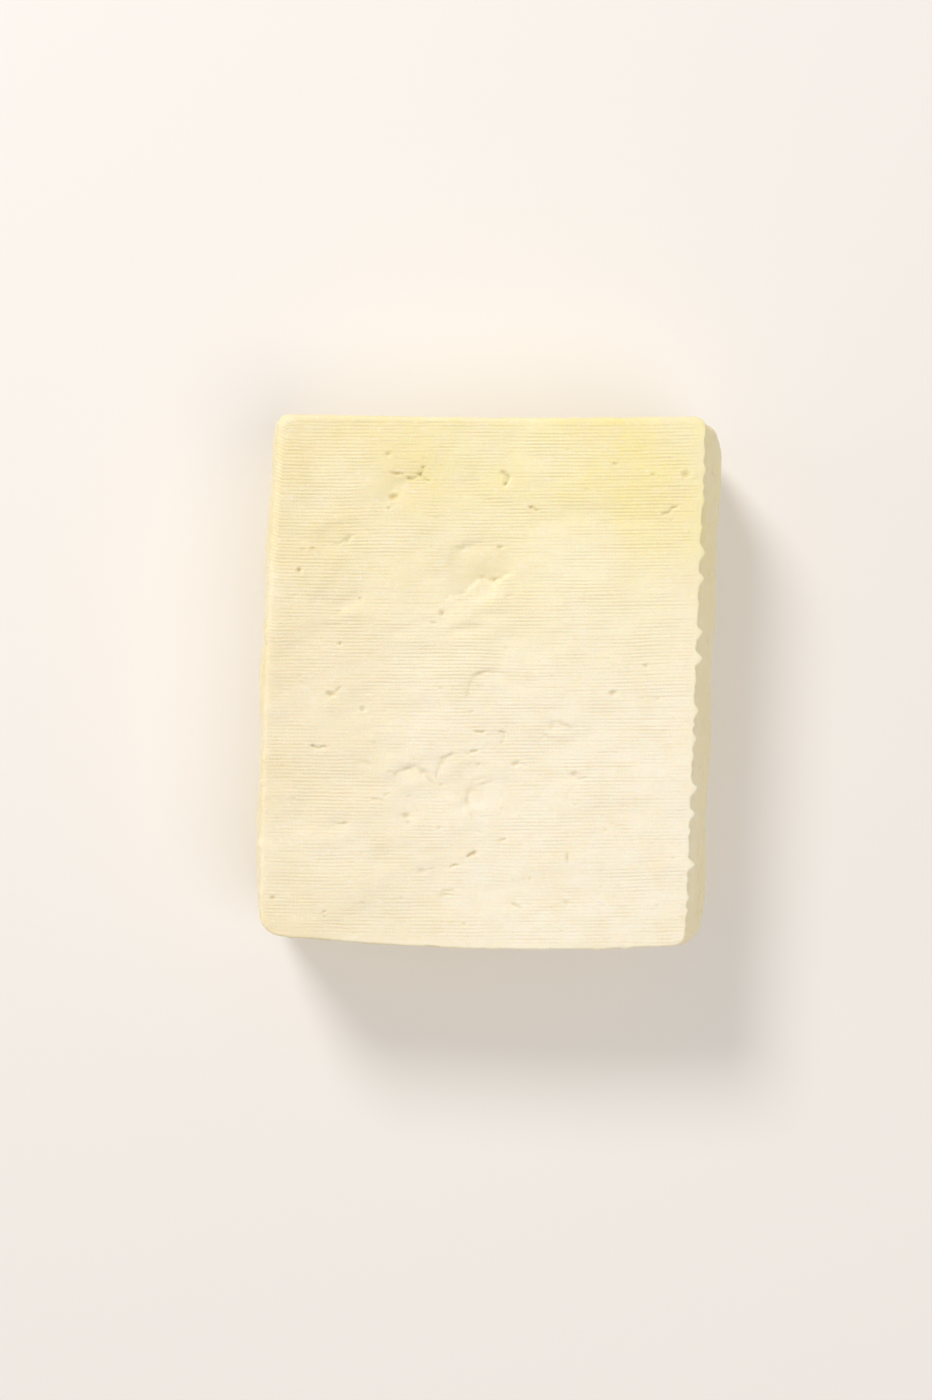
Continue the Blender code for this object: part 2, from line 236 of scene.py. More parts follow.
# ---- marks on the top face
# Pits: X, Y, radius, depth, stretch along X
PITS = (
    (-21.4, 48.7, 0.45, 0.4, 1.3), (-20.2, 39.4, 0.5, 0.7, 1.3),
    (-21.2, 37.0, 0.3, 0.45, 1.2), (27.5, 47.6, 0.35, 0.4, 1.6),
    (35.9, 45.8, 0.38, 0.4, 1.0), (42.8, 46.0, 0.58, 0.48, 1.5),
    (-37.4, 27.7, 0.35, 0.45, 1.6), (-40.1, 22.9, 0.5, 0.85, 1.0),
    (3.1, 29.2, 0.38, 0.65, 1.3), (-9.2, 14.7, 0.48, 0.95, 0.8),
    (-10.8, 12.6, 0.35, 0.35, 1.6), (-31.5, 14.5, 0.35, 0.25, 1.4),
    (-26.8, 17.2, 0.34, 0.45, 1.0), (-31.1, 7.4, 0.38, 0.5, 1.0),
    (-32.7, -3.4, 0.5, 0.6, 1.2), (-25.7, -6.5, 0.44, 0.62, 1.0),
    (35.1, 4.4, 0.38, 0.45, 1.0), (28.5, -1.6, 0.46, 0.55, 1.4),
    (-2.4, -6.5, 0.35, 0.25, 1.0), (7.8, -17.7, 0.48, 0.48, 1.4),
    (-0.2, -17.9, 0.32, 0.34, 1.0), (-15.6, -25.1, 0.28, 0.25, 1.0),
    (11.5, -42.3, 0.3, 0.22, 1.0), (-12.1, -19.8, 0.4, 0.28, 1.2),
    (-12.1, -41.3, 0.6, 0.16, 1.4), (-7.3, -46.1, 0.5, 0.15, 1.3),
    (-0.5, 22.6, 0.35, 0.3, 1.0), (20.2, -19.5, 0.5, 0.26, 1.4),
    (-15.8, -29.4, 0.58, 0.38, 1.2), (-8.7, -31.7, 0.35, 0.25, 1.2),
    (19.4, -47.2, 0.4, 0.24, 1.2), (-44.2, -47.8, 0.42, 0.65, 1.0),
    (-2.5, -52.5, 0.35, 0.25, 1.4), (-12.0, -41.0, 0.35, 0.25, 1.3),
    (39.0, -47.5, 0.35, 0.14, 1.0),
)
# Cracks: half width, depth, then the points they run through
CRACKS = (
    (0.27, 0.45, ((-20.5, 44.8), (-19.6, 44.3), (-18.6, 44.2))),
    (0.16, 0.18, ((-18.6, 44.2), (-18.0, 43.9))),
    (0.28, 0.45, ((-17.1, 43.6), (-16.2, 43.4), (-15.4, 43.9))),
    (0.28, 0.6, ((-14.0, 46.1), (-14.2, 45.2), (-14.4, 44.4))),
    (0.38, 0.9, ((-14.5, 44.6), (-14.2, 44.2))),
    (0.26, 0.6, ((-13.9, 44.0), (-13.4, 43.5), (-12.7, 43.1))),
    (0.32, 0.7, ((3.3, 45.4), (4.3, 44.9), (4.5, 43.6), (4.0, 42.9))),
    (0.28, 0.6, ((9.4, 38.1), (10.3, 37.8), (11.1, 37.5))),
    (0.24, 0.3, ((38.0, 37.2), (39.3, 37.7), (40.0, 38.7), (41.2, 39.0))),
    (0.24, 0.4, ((-30.2, 29.4), (-29.6, 30.4), (-28.6, 30.9))),
    (0.24, 0.24, ((-31.6, -2.6), (-30.7, -1.8))),
    (0.26, 0.38, ((-0.9, -10.9), (0.6, -10.9))),
    (0.26, 0.38, ((3.9, -10.8), (5.2, -10.8))),
    (0.2, 0.34, ((5.0, -10.8), (4.7, -13.2))),
    (0.26, 0.56, ((-36.4, -14.8), (-35.0, -15.3), (-33.6, -15.0))),
    (0.28, 0.36, ((-2.9, -15.7), (-2.0, -15.2), (-1.0, -15.1))),
    (0.26, 0.16, ((12.3, -12.9), (12.9, -11.8), (14.4, -11.0))),
    (0.32, 0.14, ((14.9, -9.6), (15.4, -8.7), (16.7, -8.3), (18.0, -8.6), (19.4, -9.5))),
    (0.2, 0.25, ((8.9, -17.5), (9.9, -17.7))),
    (0.24, 0.22, ((20.2, -19.6), (21.6, -20.5), (22.8, -20.2))),
    (0.22, 0.42, ((-23.0, -26.0), (-21.0, -26.1))),
    (0.2, 0.22, ((-20.6, -25.2), (-19.6, -24.7))),
    (0.24, 0.22, ((-15.8, -29.8), (-15.2, -30.8))),
    (0.2, 0.24, ((4.5, -34.4), (5.2, -34.0), (5.9, -33.8))),
    (0.3, 0.48, ((-2.2, -37.7), (-1.3, -37.4), (-0.4, -37.0))),
    (0.24, 0.32, ((-5.8, -40.3), (-4.9, -39.9), (-4.0, -39.6))),
    (0.2, 0.28, ((-11.6, -41.4), (-9.8, -40.6))),
    (0.16, 0.25, ((19.3, -37.0), (19.2, -38.6))),
    (0.22, 0.6, ((7.6, -47.7), (8.8, -48.2), (9.7, -48.9))),
    (0.18, 0.22, ((-7.2, -45.3), (-4.9, -45.5))),
    (0.18, 0.22, ((-6.9, -46.1), (-5.3, -46.2))),
    (0.2, 0.48, ((-32.9, -50.6), (-32.6, -52.0))),
    (0.22, 0.3, ((-30.8, -31.4), (-28.4, -31.2))),
    (0.34, 0.16, ((-3.1, -3.2), (-2.8, -0.6), (-1.6, 1.3), (0.4, 2.1), (4.4, 2.3))),
    (0.4, 0.15, ((-18.2, -20.2), (-16.4, -19.4), (-14.2, -19.0), (-12.0, -19.4), (-10.7, -21.6))),
    (0.4, 0.15, ((-9.3, -20.6), (-8.8, -18.1), (-7.2, -16.2), (-5.6, -15.5))),
    (0.3, 0.12, ((2.7, -21.4), (-0.9, -22.4), (-2.4, -24.3), (-2.7, -26.5), (-1.8, -28.7))),
    (0.3, 0.14, ((-33.6, 29.0), (-31.2, 29.2), (-29.8, 30.6))),
)
# Curved creases: middle X, middle Y, radius, first and last angle in degrees, depth
CREASES = (
    (-4.6, 26.0, 2.9, 70.0, 195.0, 0.13), (-4.8, -19.6, 4.0, 100.0, 182.0, 0.12),
    (-13.5, -22.4, 3.5, 25.0, 150.0, 0.15), (1.2, -25.0, 3.9, 50.0, 290.0, 0.16),
    (-25.5, -23.0, 5.0, 60.0, 120.0, 0.05), (24.0, -27.0, 6.0, 110.0, 170.0, 0.1),
)
CREASE_WIDTH = 0.38
CREASE_FLOOR = 1.8
CREASE_GROOVE = 0.4
# Painted shade along the groove of a crease
CREASE_PAINTED_SHADE = 0.30
CREASE_CALM = 0.7
CREASE_FADE = (0.55, 1.0)  # shares of the half arc between which the depth is lost
CREASE_WANDER = ((2.0, 0.45, 27),)
CREASE_STRENGTH = (0.8, 0.6, 2.2, 28, 0.2, 1.2)
CRACK_WIDTH = (1.0, 0.4, 1.1, 25, 0.6, 1.4)
CRACK_DEPTH = (0.95, 0.5, 1.5, 26, 0.5, 1.3)
# A pit's raised rim, in radii from its middle, and how far away a pit is still felt
PIT_RIM_PLACE = 1.9
PIT_RIM_WIDTH = 0.6
PIT_RIM_HEIGHT = 0.12
PIT_REACH = 3.0
PINHOLE_SEED = 5
# Ragged outlines of all marks, in layers of noise (size, shift, seed)
RAGGED_X = ((1.2, 0.24, 21), (0.6, 0.12, 22))
RAGGED_Y = ((1.2, 0.24, 23), (0.6, 0.12, 24))
MARK_FULL_DEPTH = 0.60  # depth at which a mark is as dark as it gets
MARK_SMOOTHING = 1.5  # how fast the ridges are lost in the dark of a mark
# Step across the middle: low on its far left side, high on its near right side
STEP_LINE = ((-8.3, 16.9), (-7.6, 18.0), (-4.4, 18.6), (-3.1, 20.4), (-1.2, 22.0),
             (1.7, 21.3), (3.5, 22.3), (6.0, 23.7))
STEP_MIDDLE = -1.2
STEP_HALF = 5.4
STEP_DROP = 0.34
STEP_RAISE = 0.14
STEP_WIDTH = 0.95
STEP_RUN_OUT = 3.2
STEP_FADE = 1.6
STEP_FLOOR_START = (0.0, 0.7)
STEP_FLOOR_END = (4.5, 8.5)
# Darker, browner crater floor: partly brown stain, partly painted shade
STEP_FLOOR_SHADE_AND_STAIN = 0.24
STEP_CALM = 0.8
# Crack at the step's foot: depth and painted shade of its broken run, then of its deep end
STEP_CRACK_WIDTH = 0.28
STEP_CRACK_BREAKS = (0.5, 1.2, 1.6, 29, 0.0, 1.0)
STEP_CRACK_RUN = (0.14, 0.3)
STEP_CRACK_END = (0.45, 0.6)
STEP_CRACK_X = 2.4
STEP_CRACK_Y = 22.0
STEP_CRACK_SPREAD = 2.2

# Pinholes: how many, then the range of each one's X, Y, radius, depth and stretch along X
PINHOLES = 170
PINHOLE_RANGES = ((-44.5, 44.5), (-55.0, 55.5), (0.14, 0.34), (0.06, 0.20), (0.8, 1.8))

# ---- sides
WALL_SPACING = 0.78
WALL_ROWS = 46
SHOULDER_STEPS = 6
SHOULDER_BARE = 0.4  # share of the skin that is lost over the shoulder
LIP_DEPTHS = (0.25, 0.55, 0.9, 1.4, 2.0)
BASE_STEPS = 5
PERIMETER_STEPS = 4000
# Curds on the sides, in layers of noise (size, height, seed) with bent level lines
WALL_BEND = ((14.0, 0.8, 51),)
WALL_CURDS = ((6.0, 0.13, 52), (2.6, 0.10, 53), (1.3, 0.07, 54))
WALL_LEVEL = 0.12
WALL_FADE_TOP = (0.0, 0.05)
WALL_FADE_FOOT = (0.96, 1.0)
# Pores and short level cracks: how many, and the ranges of their places and sizes
SIDE_SEED = 9
SIDE_PORES = 320
SIDE_PORE_PLACE = (2.0, 36.0)
SIDE_PORE_RADIUS = (0.7, 1.5)
SIDE_PORE_SHRINK = (0.5, 1.0)
SIDE_PORE_HOLLOW = (0.12, 0.40)
SIDE_CRACKS = 34
SIDE_CRACK_PLACE = (4.0, 34.0)
SIDE_CRACK_LENGTH = (2.0, 6.0)
SIDE_CRACK_WIDTH = 0.8
SIDE_CRACK_HOLLOW = 0.25
SIDE_MARK_REACH = 3.0
# Painted shade inside the side pores and cracks
SIDE_MARK_PAINTED_SHADE = 1.1

# ---- grid of the top face
TOP_COLUMNS = 72
COLUMN_CROWDING = 0.10  # towards both long edges
FINE_SPLIT = 3  # parts that a cell is split into near a mark, within these margins
PIT_MARGIN = (1.2, 0.9)
PINHOLE_MARGIN = (0.9, 0.2)
CRACK_MARGIN = 0.8
STEP_MARGIN = 1.0
CREASE_MARGIN = 0.7

# ---- what each vertex and face carries
ATTRIBUTES = ("inside", "groove", "skin", "base")
TOP_CHART = 0
SIDE_CHART = 1
BASE_CHART = 2

# Flat map, in millimetres on a square canvas: where each chart's own zero lies
MAP_SIZE = 170.0
MAP_TOP = (50.0, 61.0)
MAP_SIDE_SCALE = 0.72
MAP_STRIPS = ((101.0, 91.0), (101.0, 3.0), (133.5, 91.0), (133.5, 3.0))
MAP_BASE_SCALE = 0.42
MAP_BASE = (27.0, 145.5)

# Value noise: cells of its lattice, and where the middle of the block lies on it
NOISE_CELLS = 64
NOISE_START_X = 17.3
NOISE_START_Y = 31.7


def add_object(name, data):
    thing = bpy.data.objects.new(name, data)
    bpy.context.scene.collection.objects.link(thing)
    return thing


# ---- small maths
def lerp(low, high, share):
    return low + (high - low) * share


def smooth_step(low, high, value):
    share = np.clip((value - low) / (high - low), 0.0, 1.0)
    return share * share * (3.0 - 2.0 * share)


def ease(share):
    """Rise from 0 to 1 that is level at both ends, also in its bend."""
    return share * share * share * (share * (share * 6.0 - 15.0) + 10.0)


def bell(*offsets):
    """Bell curve: 1 where all the offsets are 0, and 1 / e at a distance of 1."""
    return np.exp(-sum(offset ** 2 for offset in offsets))


def noise(x, y, size, seed):
    """Smooth value noise between -1 and 1, with features about size across."""
    lattice = np.random.default_rng(seed).uniform(-1.0, 1.0, (NOISE_CELLS, NOISE_CELLS))
    px = np.asarray(x) / size + NOISE_START_X
    py = np.asarray(y) / size + NOISE_START_Y
    ix = np.floor(px).astype(int)
    iy = np.floor(py).astype(int)
    share_x = ease(px - ix)
    left = ix % NOISE_CELLS
    right = (ix + 1) % NOISE_CELLS
    near = iy % NOISE_CELLS
    far = (iy + 1) % NOISE_CELLS
    low = lerp(lattice[left, near], lattice[right, near], share_x)
    high = lerp(lattice[left, far], lattice[right, far], share_x)
    return lerp(low, high, ease(py - iy))


def layered(x, y, layers):
    """Sum of noise layers, each given as its size, its height and its seed."""
    return sum(height * noise(x, y, size, seed) for size, height, seed in layers)


def uneven_share(x, y, middle, swing, size, seed, least, most):
    """A share that swings about its middle from place to place, within its limits."""
    return np.clip(middle + swing * noise(x, y, size, seed), least, most)


def distance_to_line(x, y, points):
    """Distance to a polyline, and on which side of it, +1 to its left."""
    best = np.full(np.shape(x), np.inf)
    side = np.ones(np.shape(x))
    for (ax, ay), (bx, by) in zip(points[:-1], points[1:]):
        dx = bx - ax
        dy = by - ay
        share = np.clip(((x - ax) * dx + (y - ay) * dy) / (dx * dx + dy * dy), 0.0, 1.0)
        gap_x = x - (ax + share * dx)
        gap_y = y - (ay + share * dy)
        gap = np.hypot(gap_x, gap_y)
        nearer = gap < best
        best = np.where(nearer, gap, best)
        side = np.where(nearer, np.sign(dx * gap_y - dy * gap_x), side)
    return best, side


# ---- outline of the block
def left_edge(y):
    lean = y / HALF_LENGTH
    return -(LEFT_REACH - LEFT_LEAN * lean - LEFT_BOW * lean * lean)


def right_edge(y):
    return RIGHT_REACH + RIGHT_LEAN * y / HALF_LENGTH


def near_edge(x):
    across = x / HALF_WIDTH
    return -(NEAR_REACH - NEAR_BOW * across * across)


def far_edge(x):
    across = x / HALF_WIDTH
    return FAR_REACH + FAR_LEAN * across - FAR_BOW * across * across


def by_corner(u, v, values):
    """Of four values, that of the corner each point of the unit square is nearest to."""
    right_far, right_near, left_far, left_near = values
    right = np.where(v >= 0.0, right_far, right_near)
    left = np.where(v >= 0.0, left_far, left_near)
    return np.where(u >= 0.0, right, left)


def round_corner(u, v):
    """Pull points of the unit square in from its corners, so that the corners are arcs."""
    radius = by_corner(u, v, CORNER_RADII)
    start_u = 1.0 - radius / HALF_WIDTH
    start_v = 1.0 - radius / HALF_LENGTH
    a = (np.abs(u) - start_u) / (1.0 - start_u)
    b = (np.abs(v) - start_v) / (1.0 - start_v)
    corner = (a > 0.0) & (b > 0.0)
    a = np.clip(a, 0.0, 1.0)
    b = np.clip(b, 0.0, 1.0)
    new_u = np.sign(u) * (start_u + a * np.sqrt(1.0 - 0.5 * b * b) * (1.0 - start_u))
    new_v = np.sign(v) * (start_v + b * np.sqrt(1.0 - 0.5 * a * a) * (1.0 - start_v))
    return np.where(corner, new_u, u), np.where(corner, new_v, v)


def straight_point(u, v):
    """Place a point of the unit square in the outline without its corner arcs."""
    y = v * HALF_LENGTH
    x = lerp(left_edge(y), right_edge(y), (u + 1.0) / 2.0)
    y = lerp(near_edge(x), far_edge(x), (v + 1.0) / 2.0)
    return x, y


def shoulder_sizes(u, v):
    """Shoulder radius of the long side and of the end that are nearest."""
    left = lerp(SHOULDER_LEFT_NEAR, SHOULDER_LEFT_FAR, (v + 1.0) / 2.0)
    along_x = np.where(u >= 0.0, SHOULDER_RIGHT, left)
    along_y = np.where(v >= 0.0, SHOULDER_FAR, SHOULDER_NEAR)
    return along_x, along_y


def shoulder_drop(u, v):
    along_x, along_y = shoulder_sizes(u, v)
    share = smooth_step(-SHOULDER_BLEND, SHOULDER_BLEND, np.abs(u) - np.abs(v))
    return lerp(along_y, along_x, share)


def set_out(u, v, out_x, out_y):
    """Outline point moved outwards by out_x on the long sides and by out_y on the ends."""
    x, y = straight_point(*round_corner(u, v))
    return x + out_x * u, y + out_y * v


def toothed(along, teeth):
    """How far teeth with hollow flanks and small round tips stand out of an edge."""
    out = np.zeros(np.shape(along))
    for place, reach, half_length in teeth:
        share = np.clip(1.0 - np.abs(along - place) / half_length, 0.0, 1.0)
        out += reach * (share ** TOOTH_SHARPNESS * (1.0 + TOOTH_ROUNDING * (1.0 - share) * share))
    return out


def edge_details(x, y, u, v):
    """How far the teeth, the bumps and the fray of the edges stand out along X and Y."""
    fray = layered(x, y, FRAY)
    elsewhere = FRAY_ELSEWHERE * fray
    out_x = np.where(u >= 1.0, toothed(y, LIP_TEETH) + fray, 0.0)
    out_x = np.where(u <= -1.0, elsewhere - toothed(y, LEFT_BUMPS), out_x)
    out_y = np.where(v <= -1.0, elsewhere - toothed(x, NEAR_TEETH), 0.0)
    return out_x, np.where(v >= 1.0, elsewhere, out_y)


# ---- relief of the top face
def broad_relief(x, y):
    """Slow swell, dents and lumps, close to the CAD solid's, with soft unevenness on top."""
    swell_x = np.sin(TAU * x / SWELL_LENGTH_X + SWELL_PHASE_X)
    swell_y = np.cos(TAU * y / SWELL_LENGTH_Y + SWELL_PHASE_Y)
    height = SWELL * (swell_x * swell_y - 1.0)
    for middle_x, middle_y, radius, direction, depth in DENTS:
        dx = x - middle_x
        dy = y - middle_y
        distance = np.hypot(dx, dy) / radius
        facing = np.maximum(0.0, np.cos(np.arctan2(dy, dx) - math.radians(direction)))
        rim = 1.0 - smooth_step(DENT_RIM, 1.0, distance)
        height -= depth * rim * smooth_step(0.0, DENT_RIM, distance) * facing
    for middle_x, middle_y, half_x, half_y, reach in LUMPS:
        distance = np.hypot((x - middle_x) / half_x, (y - middle_y) / half_y)
        height += reach * (1.0 - smooth_step(0.0, 1.0, distance))
    half_way = smooth_step(*UNEVENNESS_GAINED_FAR, y) * smooth_step(*UNEVENNESS_GAINED_NEAR, y)
    livelier = 1.0 - UNEVENNESS_LOST * smooth_step(*UNEVENNESS_LOST_X, x)
    livelier = livelier * (1.0 + UNEVENNESS_GAINED * half_way)
    height += livelier * layered(x / UNEVENNESS_STRETCH, y, UNEVENNESS)
    return height - RELIEF_LEVEL


def hollows(x, y, height, inside):
    """Soft hollows and rises, wavering a little, with painted shade in the hollows."""
    wander_x = x + layered(x, y, HOLLOW_WANDER_X)
    wander_y = y + layered(x, y, HOLLOW_WANDER_Y)
    for middle_x, middle_y, half_x, half_y, rise, painted_shade in HOLLOWS:
        across = (wander_x - middle_x) / half_x
        share = bell(across * across, (wander_y - middle_y) / half_y)
        height += rise * share
        # Painted shade in the hollows
        inside[:] = np.maximum(inside, painted_shade * share)


def curd_lumps(x, y):
    """Soft lumps with faint creases between them, and how much they calm the ridges."""
    lumps = np.abs(layered(x, y, CURD_LUMPS)) - CURD_LEVEL
    patchy = uneven_share(x, y, *CURD_CALM_PATCHES)
    height = np.zeros(np.shape(x))
    calm = np.zeros(np.shape(x))
    for middle_x, middle_y, half_x, half_y, rise in CURD_PATCHES:
        patch = bell((x - middle_x) / half_x, (y - middle_y) / half_y)
        height += rise * patch * lumps
        calm = np.maximum(calm, np.minimum(1.0, CURD_CALM * patch * patchy))
    return height, calm


def pinhole_places():
    """Seeded small holes all over the top face: X, Y, radius, depth, stretch."""
    dice = np.random.default_rng(PINHOLE_SEED)
    return list(zip(*(dice.uniform(low, high, PINHOLES) for low, high in PINHOLE_RANGES)))


def darkness(depth):
    """How dark a mark's colour gets, as painted shade with some brown stain; even shallow marks get
    some.
    """
    return min(1.0, (depth / MARK_FULL_DEPTH) ** 0.5)


def pits(x, y, height, inside):
    """Pits and pinholes, each with a faint rim."""
    for middle_x, middle_y, radius, depth, stretch in list(PITS) + pinhole_places():
        near = (np.abs(x - middle_x) < PIT_REACH) & (np.abs(y - middle_y) < PIT_REACH)
        distance = np.hypot((x[near] - middle_x) / stretch, y[near] - middle_y) / radius
        share = bell(distance)
        rim = PIT_RIM_HEIGHT * bell((distance - PIT_RIM_PLACE) / PIT_RIM_WIDTH)
        height[near] += depth * (rim - share)
        # Painted shade, with some brown stain, inside each pit
        inside[near] = np.maximum(inside[near], share * darkness(depth))


def cracks(x, y, height, inside):
    """Short cracks whose width and depth change along the way."""
    width = uneven_share(x, y, *CRACK_WIDTH)
    depth_share = uneven_share(x, y, *CRACK_DEPTH)
    for half_width, depth, points in CRACKS:
        gap, _ = distance_to_line(x, y, points)
        share = depth_share * bell(gap / (half_width * width))
        height -= depth * share
        # Painted shade, with some brown stain, along each crack
        inside[:] = np.maximum(inside, share * darkness(depth))


def crease_place(x, y, crease):
    """How far outside a crease's arc a point is, and how far round it, 1 at the arc's ends."""
    middle_x, middle_y, radius, first, last, _ = crease
    middle = math.radians(0.5 * (first + last))
    turn = (np.arctan2(y - middle_y, x - middle_x) - middle + math.pi) % TAU - math.pi
    out = np.hypot(x - middle_x, y - middle_y) - radius
    return out, np.abs(turn) / math.radians(0.5 * (last - first))


def creases(x, y, height, inside, calm):
    """Curved creases: the ground falls off inside the arc, with a shallow groove along it in
    painted shade.
    """
    wander = layered(x, y, CREASE_WANDER)
    strength = uneven_share(x, y, *CREASE_STRENGTH)
    for crease in CREASES:
        out, turn = crease_place(x, y, crease)
        out = out + wander
        window = strength * (1.0 - smooth_step(*CREASE_FADE, turn))
        line = bell(out / CREASE_WIDTH)
        floor = np.where(out < 0.0, np.exp(np.minimum(out, 0.0) / CREASE_FLOOR), line)
        height -= crease[-1] * window * (floor + CREASE_GROOVE * line)
        # Painted shade along the groove
        inside[:] = np.maximum(inside, CREASE_PAINTED_SHADE * window * line)
        fade = np.exp(-np.abs(out) / CREASE_FLOOR)
        calm[:] = np.maximum(calm, CREASE_CALM * window * fade)


def step(x, y, height, inside, calm):
    """The step across the crater: a slope that faces far left, with a broken crack at its foot in
    painted shade, and a floor darkened partly by brown stain, partly by painted shade.
    """
    gap, side = distance_to_line(x, y, STEP_LINE)
    signed = gap * side
    ends = bell(np.maximum(0.0, np.abs(x - STEP_MIDDLE) - STEP_HALF) / STEP_FADE)
    fall = smooth_step(-STEP_WIDTH, STEP_WIDTH, signed)
    low = np.exp(-np.maximum(signed, 0.0) / STEP_RUN_OUT)
    height -= STEP_DROP * ends * fall * low
    height += STEP_RAISE * ends * (1.0 - fall) * np.exp(-gap / STEP_FADE)
    crack = ends * bell((signed - 0.5 * STEP_WIDTH) / STEP_CRACK_WIDTH)
    broken = uneven_share(x, y, *STEP_CRACK_BREAKS)
    away = (x - STEP_CRACK_X) ** 2 + (y - STEP_CRACK_Y) ** 2
    deep_end = np.exp(-away / STEP_CRACK_SPREAD)
    depth, dark = (a * broken + b * deep_end for a, b in zip(STEP_CRACK_RUN, STEP_CRACK_END))
    height -= depth * crack
    # Painted shade in the crack
    inside[:] = np.maximum(inside, dark * crack)
    floor = smooth_step(*STEP_FLOOR_START, signed) * (1.0 - smooth_step(*STEP_FLOOR_END, signed))
    # Crater floor darkened, partly by brown stain, partly by painted shade
    inside[:] = np.maximum(inside, STEP_FLOOR_SHADE_AND_STAIN * ends * floor)
    calm[:] = np.maximum(calm, STEP_CALM * ends * floor)


def ridge_line(x, y):
    """How far a ridge has moved along Y where it crosses X, from the cloth's lie."""
    across = x / HALF_WIDTH
    steady = RIDGE_LEAN * x + RIDGE_BOW * across * across
    return steady + layered(x, y, RIDGE_WANDER)


def dashes_passed(x):
    """Dashes counted along a ridge from the middle: shorter at the left, longer at the right."""
    return x * (DASHES_PER_MM - DASHES_LOST * x)


def ridge_strength(x, y, number):
    """Depth of the ridges: in patches, and in dashes along each ridge, up to near the edges."""
    patches = RIDGE_LEVEL + layered(x, y, RIDGE_PATCHES)
    patches = patches + RIDGE_DASHES * noise(dashes_passed(x), number, 1.0, DASH_SEED)
    gained = RIDGE_GAINED * smooth_step(*RIDGE_GAINED_X, x) * smooth_step(*RIDGE_GAINED_Y, y)
    drift = 1.0 + gained - RIDGE_LOST * smooth_step(*RIDGE_LOST_Y, y)
    edge_x = smooth_step(*RIDGE_RIGHT, x) * smooth_step(*RIDGE_LEFT, x)
    edge_y = smooth_step(*RIDGE_NEAR, y) * smooth_step(*RIDGE_FAR, y)
    return np.clip(patches, 0.0, RIDGE_LIMIT) * drift * edge_x * edge_y


def ridges(x, y, q, calm):
    """Cloth ridges, where q counts millimetres across them: height, and how deep in a groove."""
    number = q / RIDGE_PITCH
    phase = TAU * number + RIDGE_JITTER * noise(dashes_passed(x), 0.5 * number, 1.0, JITTER_SEED)
    strength = ridge_strength(x, y, number) * (1.0 - calm)
    profile = np.cos(phase) - RIDGE_SHARPNESS * np.cos(2.0 * phase)
    # How deep in a groove: it carries painted shade along the cloth grooves
    groove = np.clip(-np.cos(phase), 0.0, 1.0) ** 2
    return RIDGE_DEPTH * strength * profile, strength * groove


def top_relief(x, y, q):
    """Height of the top face, how deep inside a mark a point is, and how deep in a groove."""
    height, calm = curd_lumps(x, y)
    inside = np.zeros(np.shape(x))
    marks = np.zeros(np.shape(x))
    hollows(x, y, marks, inside)
    ragged = (x + layered(x, y, RAGGED_X), y + layered(x, y, RAGGED_Y))
    pits(*ragged, marks, inside)
    cracks(*ragged, marks, inside)
    creases(*ragged, marks, inside, calm)
    step(*ragged, marks, inside, calm)
    open_skin = 1.0 - np.clip(MARK_SMOOTHING * inside, 0.0, 1.0)
    ridge_height, groove = ridges(x, y, q, calm)
    height += broad_relief(x, y) + marks + open_skin * ridge_height
    return height, inside, open_skin * groove


# ---- top grid
def row_places(u):
    """For each column and row: v in the unit square and q, the place across the ridges."""
    step = RIDGE_PITCH / ROWS_PER_RIDGE
    rows = round((ROW_LAST - ROW_FIRST) / step)
    q_even = ROW_FIRST + step * np.arange(rows + 1)
    u_grid, q_grid = np.meshgrid(u, q_even, indexing="ij")
    v = q_grid / HALF_LENGTH
    q = q_grid
    for _ in range(ROW_ROUNDS):
        x, y = straight_point(u_grid, v)
        lie = ridge_line(x, y)
        near = near_edge(x)
        far = far_edge(x)
        near_gap = near - ridge_line(x, near) - ROW_FIRST
        far_gap = far - ridge_line(x, far) - ROW_LAST
        q = q_grid + near_gap * (1.0 - smooth_step(0.0, END_BAND, q_grid - ROW_FIRST))
        q = q + far_gap * (1.0 - smooth_step(0.0, END_BAND, ROW_LAST - q_grid))
        v = 2.0 * (q + lie - near) / (far - near) - 1.0
    v[:, 0] = -1.0
    v[:, -1] = 1.0
    return u_grid, v, q


def needs_detail(x, y):
    """True where marks are too small for the plain column spacing."""
    gap, _ = distance_to_line(x, y, STEP_LINE)
    fine = gap < STEP_MARGIN
    for px, py, radius, _, stretch in PITS:
        near_x = np.abs(x - px) < PIT_MARGIN[0] + radius * stretch
        fine |= near_x & (np.abs(y - py) < PIT_MARGIN[1] + radius)
    for px, py, radius, _, _ in pinhole_places():
        near_x = np.abs(x - px) < PINHOLE_MARGIN[0]
        fine |= near_x & (np.abs(y - py) < PINHOLE_MARGIN[1] + radius)
    for half_width, _, points in CRACKS:
        gap, _ = distance_to_line(x, y, points)
        fine |= gap < CRACK_MARGIN + half_width
    for crease in CREASES:
        out, turn = crease_place(x, y, crease)
        fine |= (np.abs(out) < CREASE_MARGIN) & (turn < 1.0)
    return fine


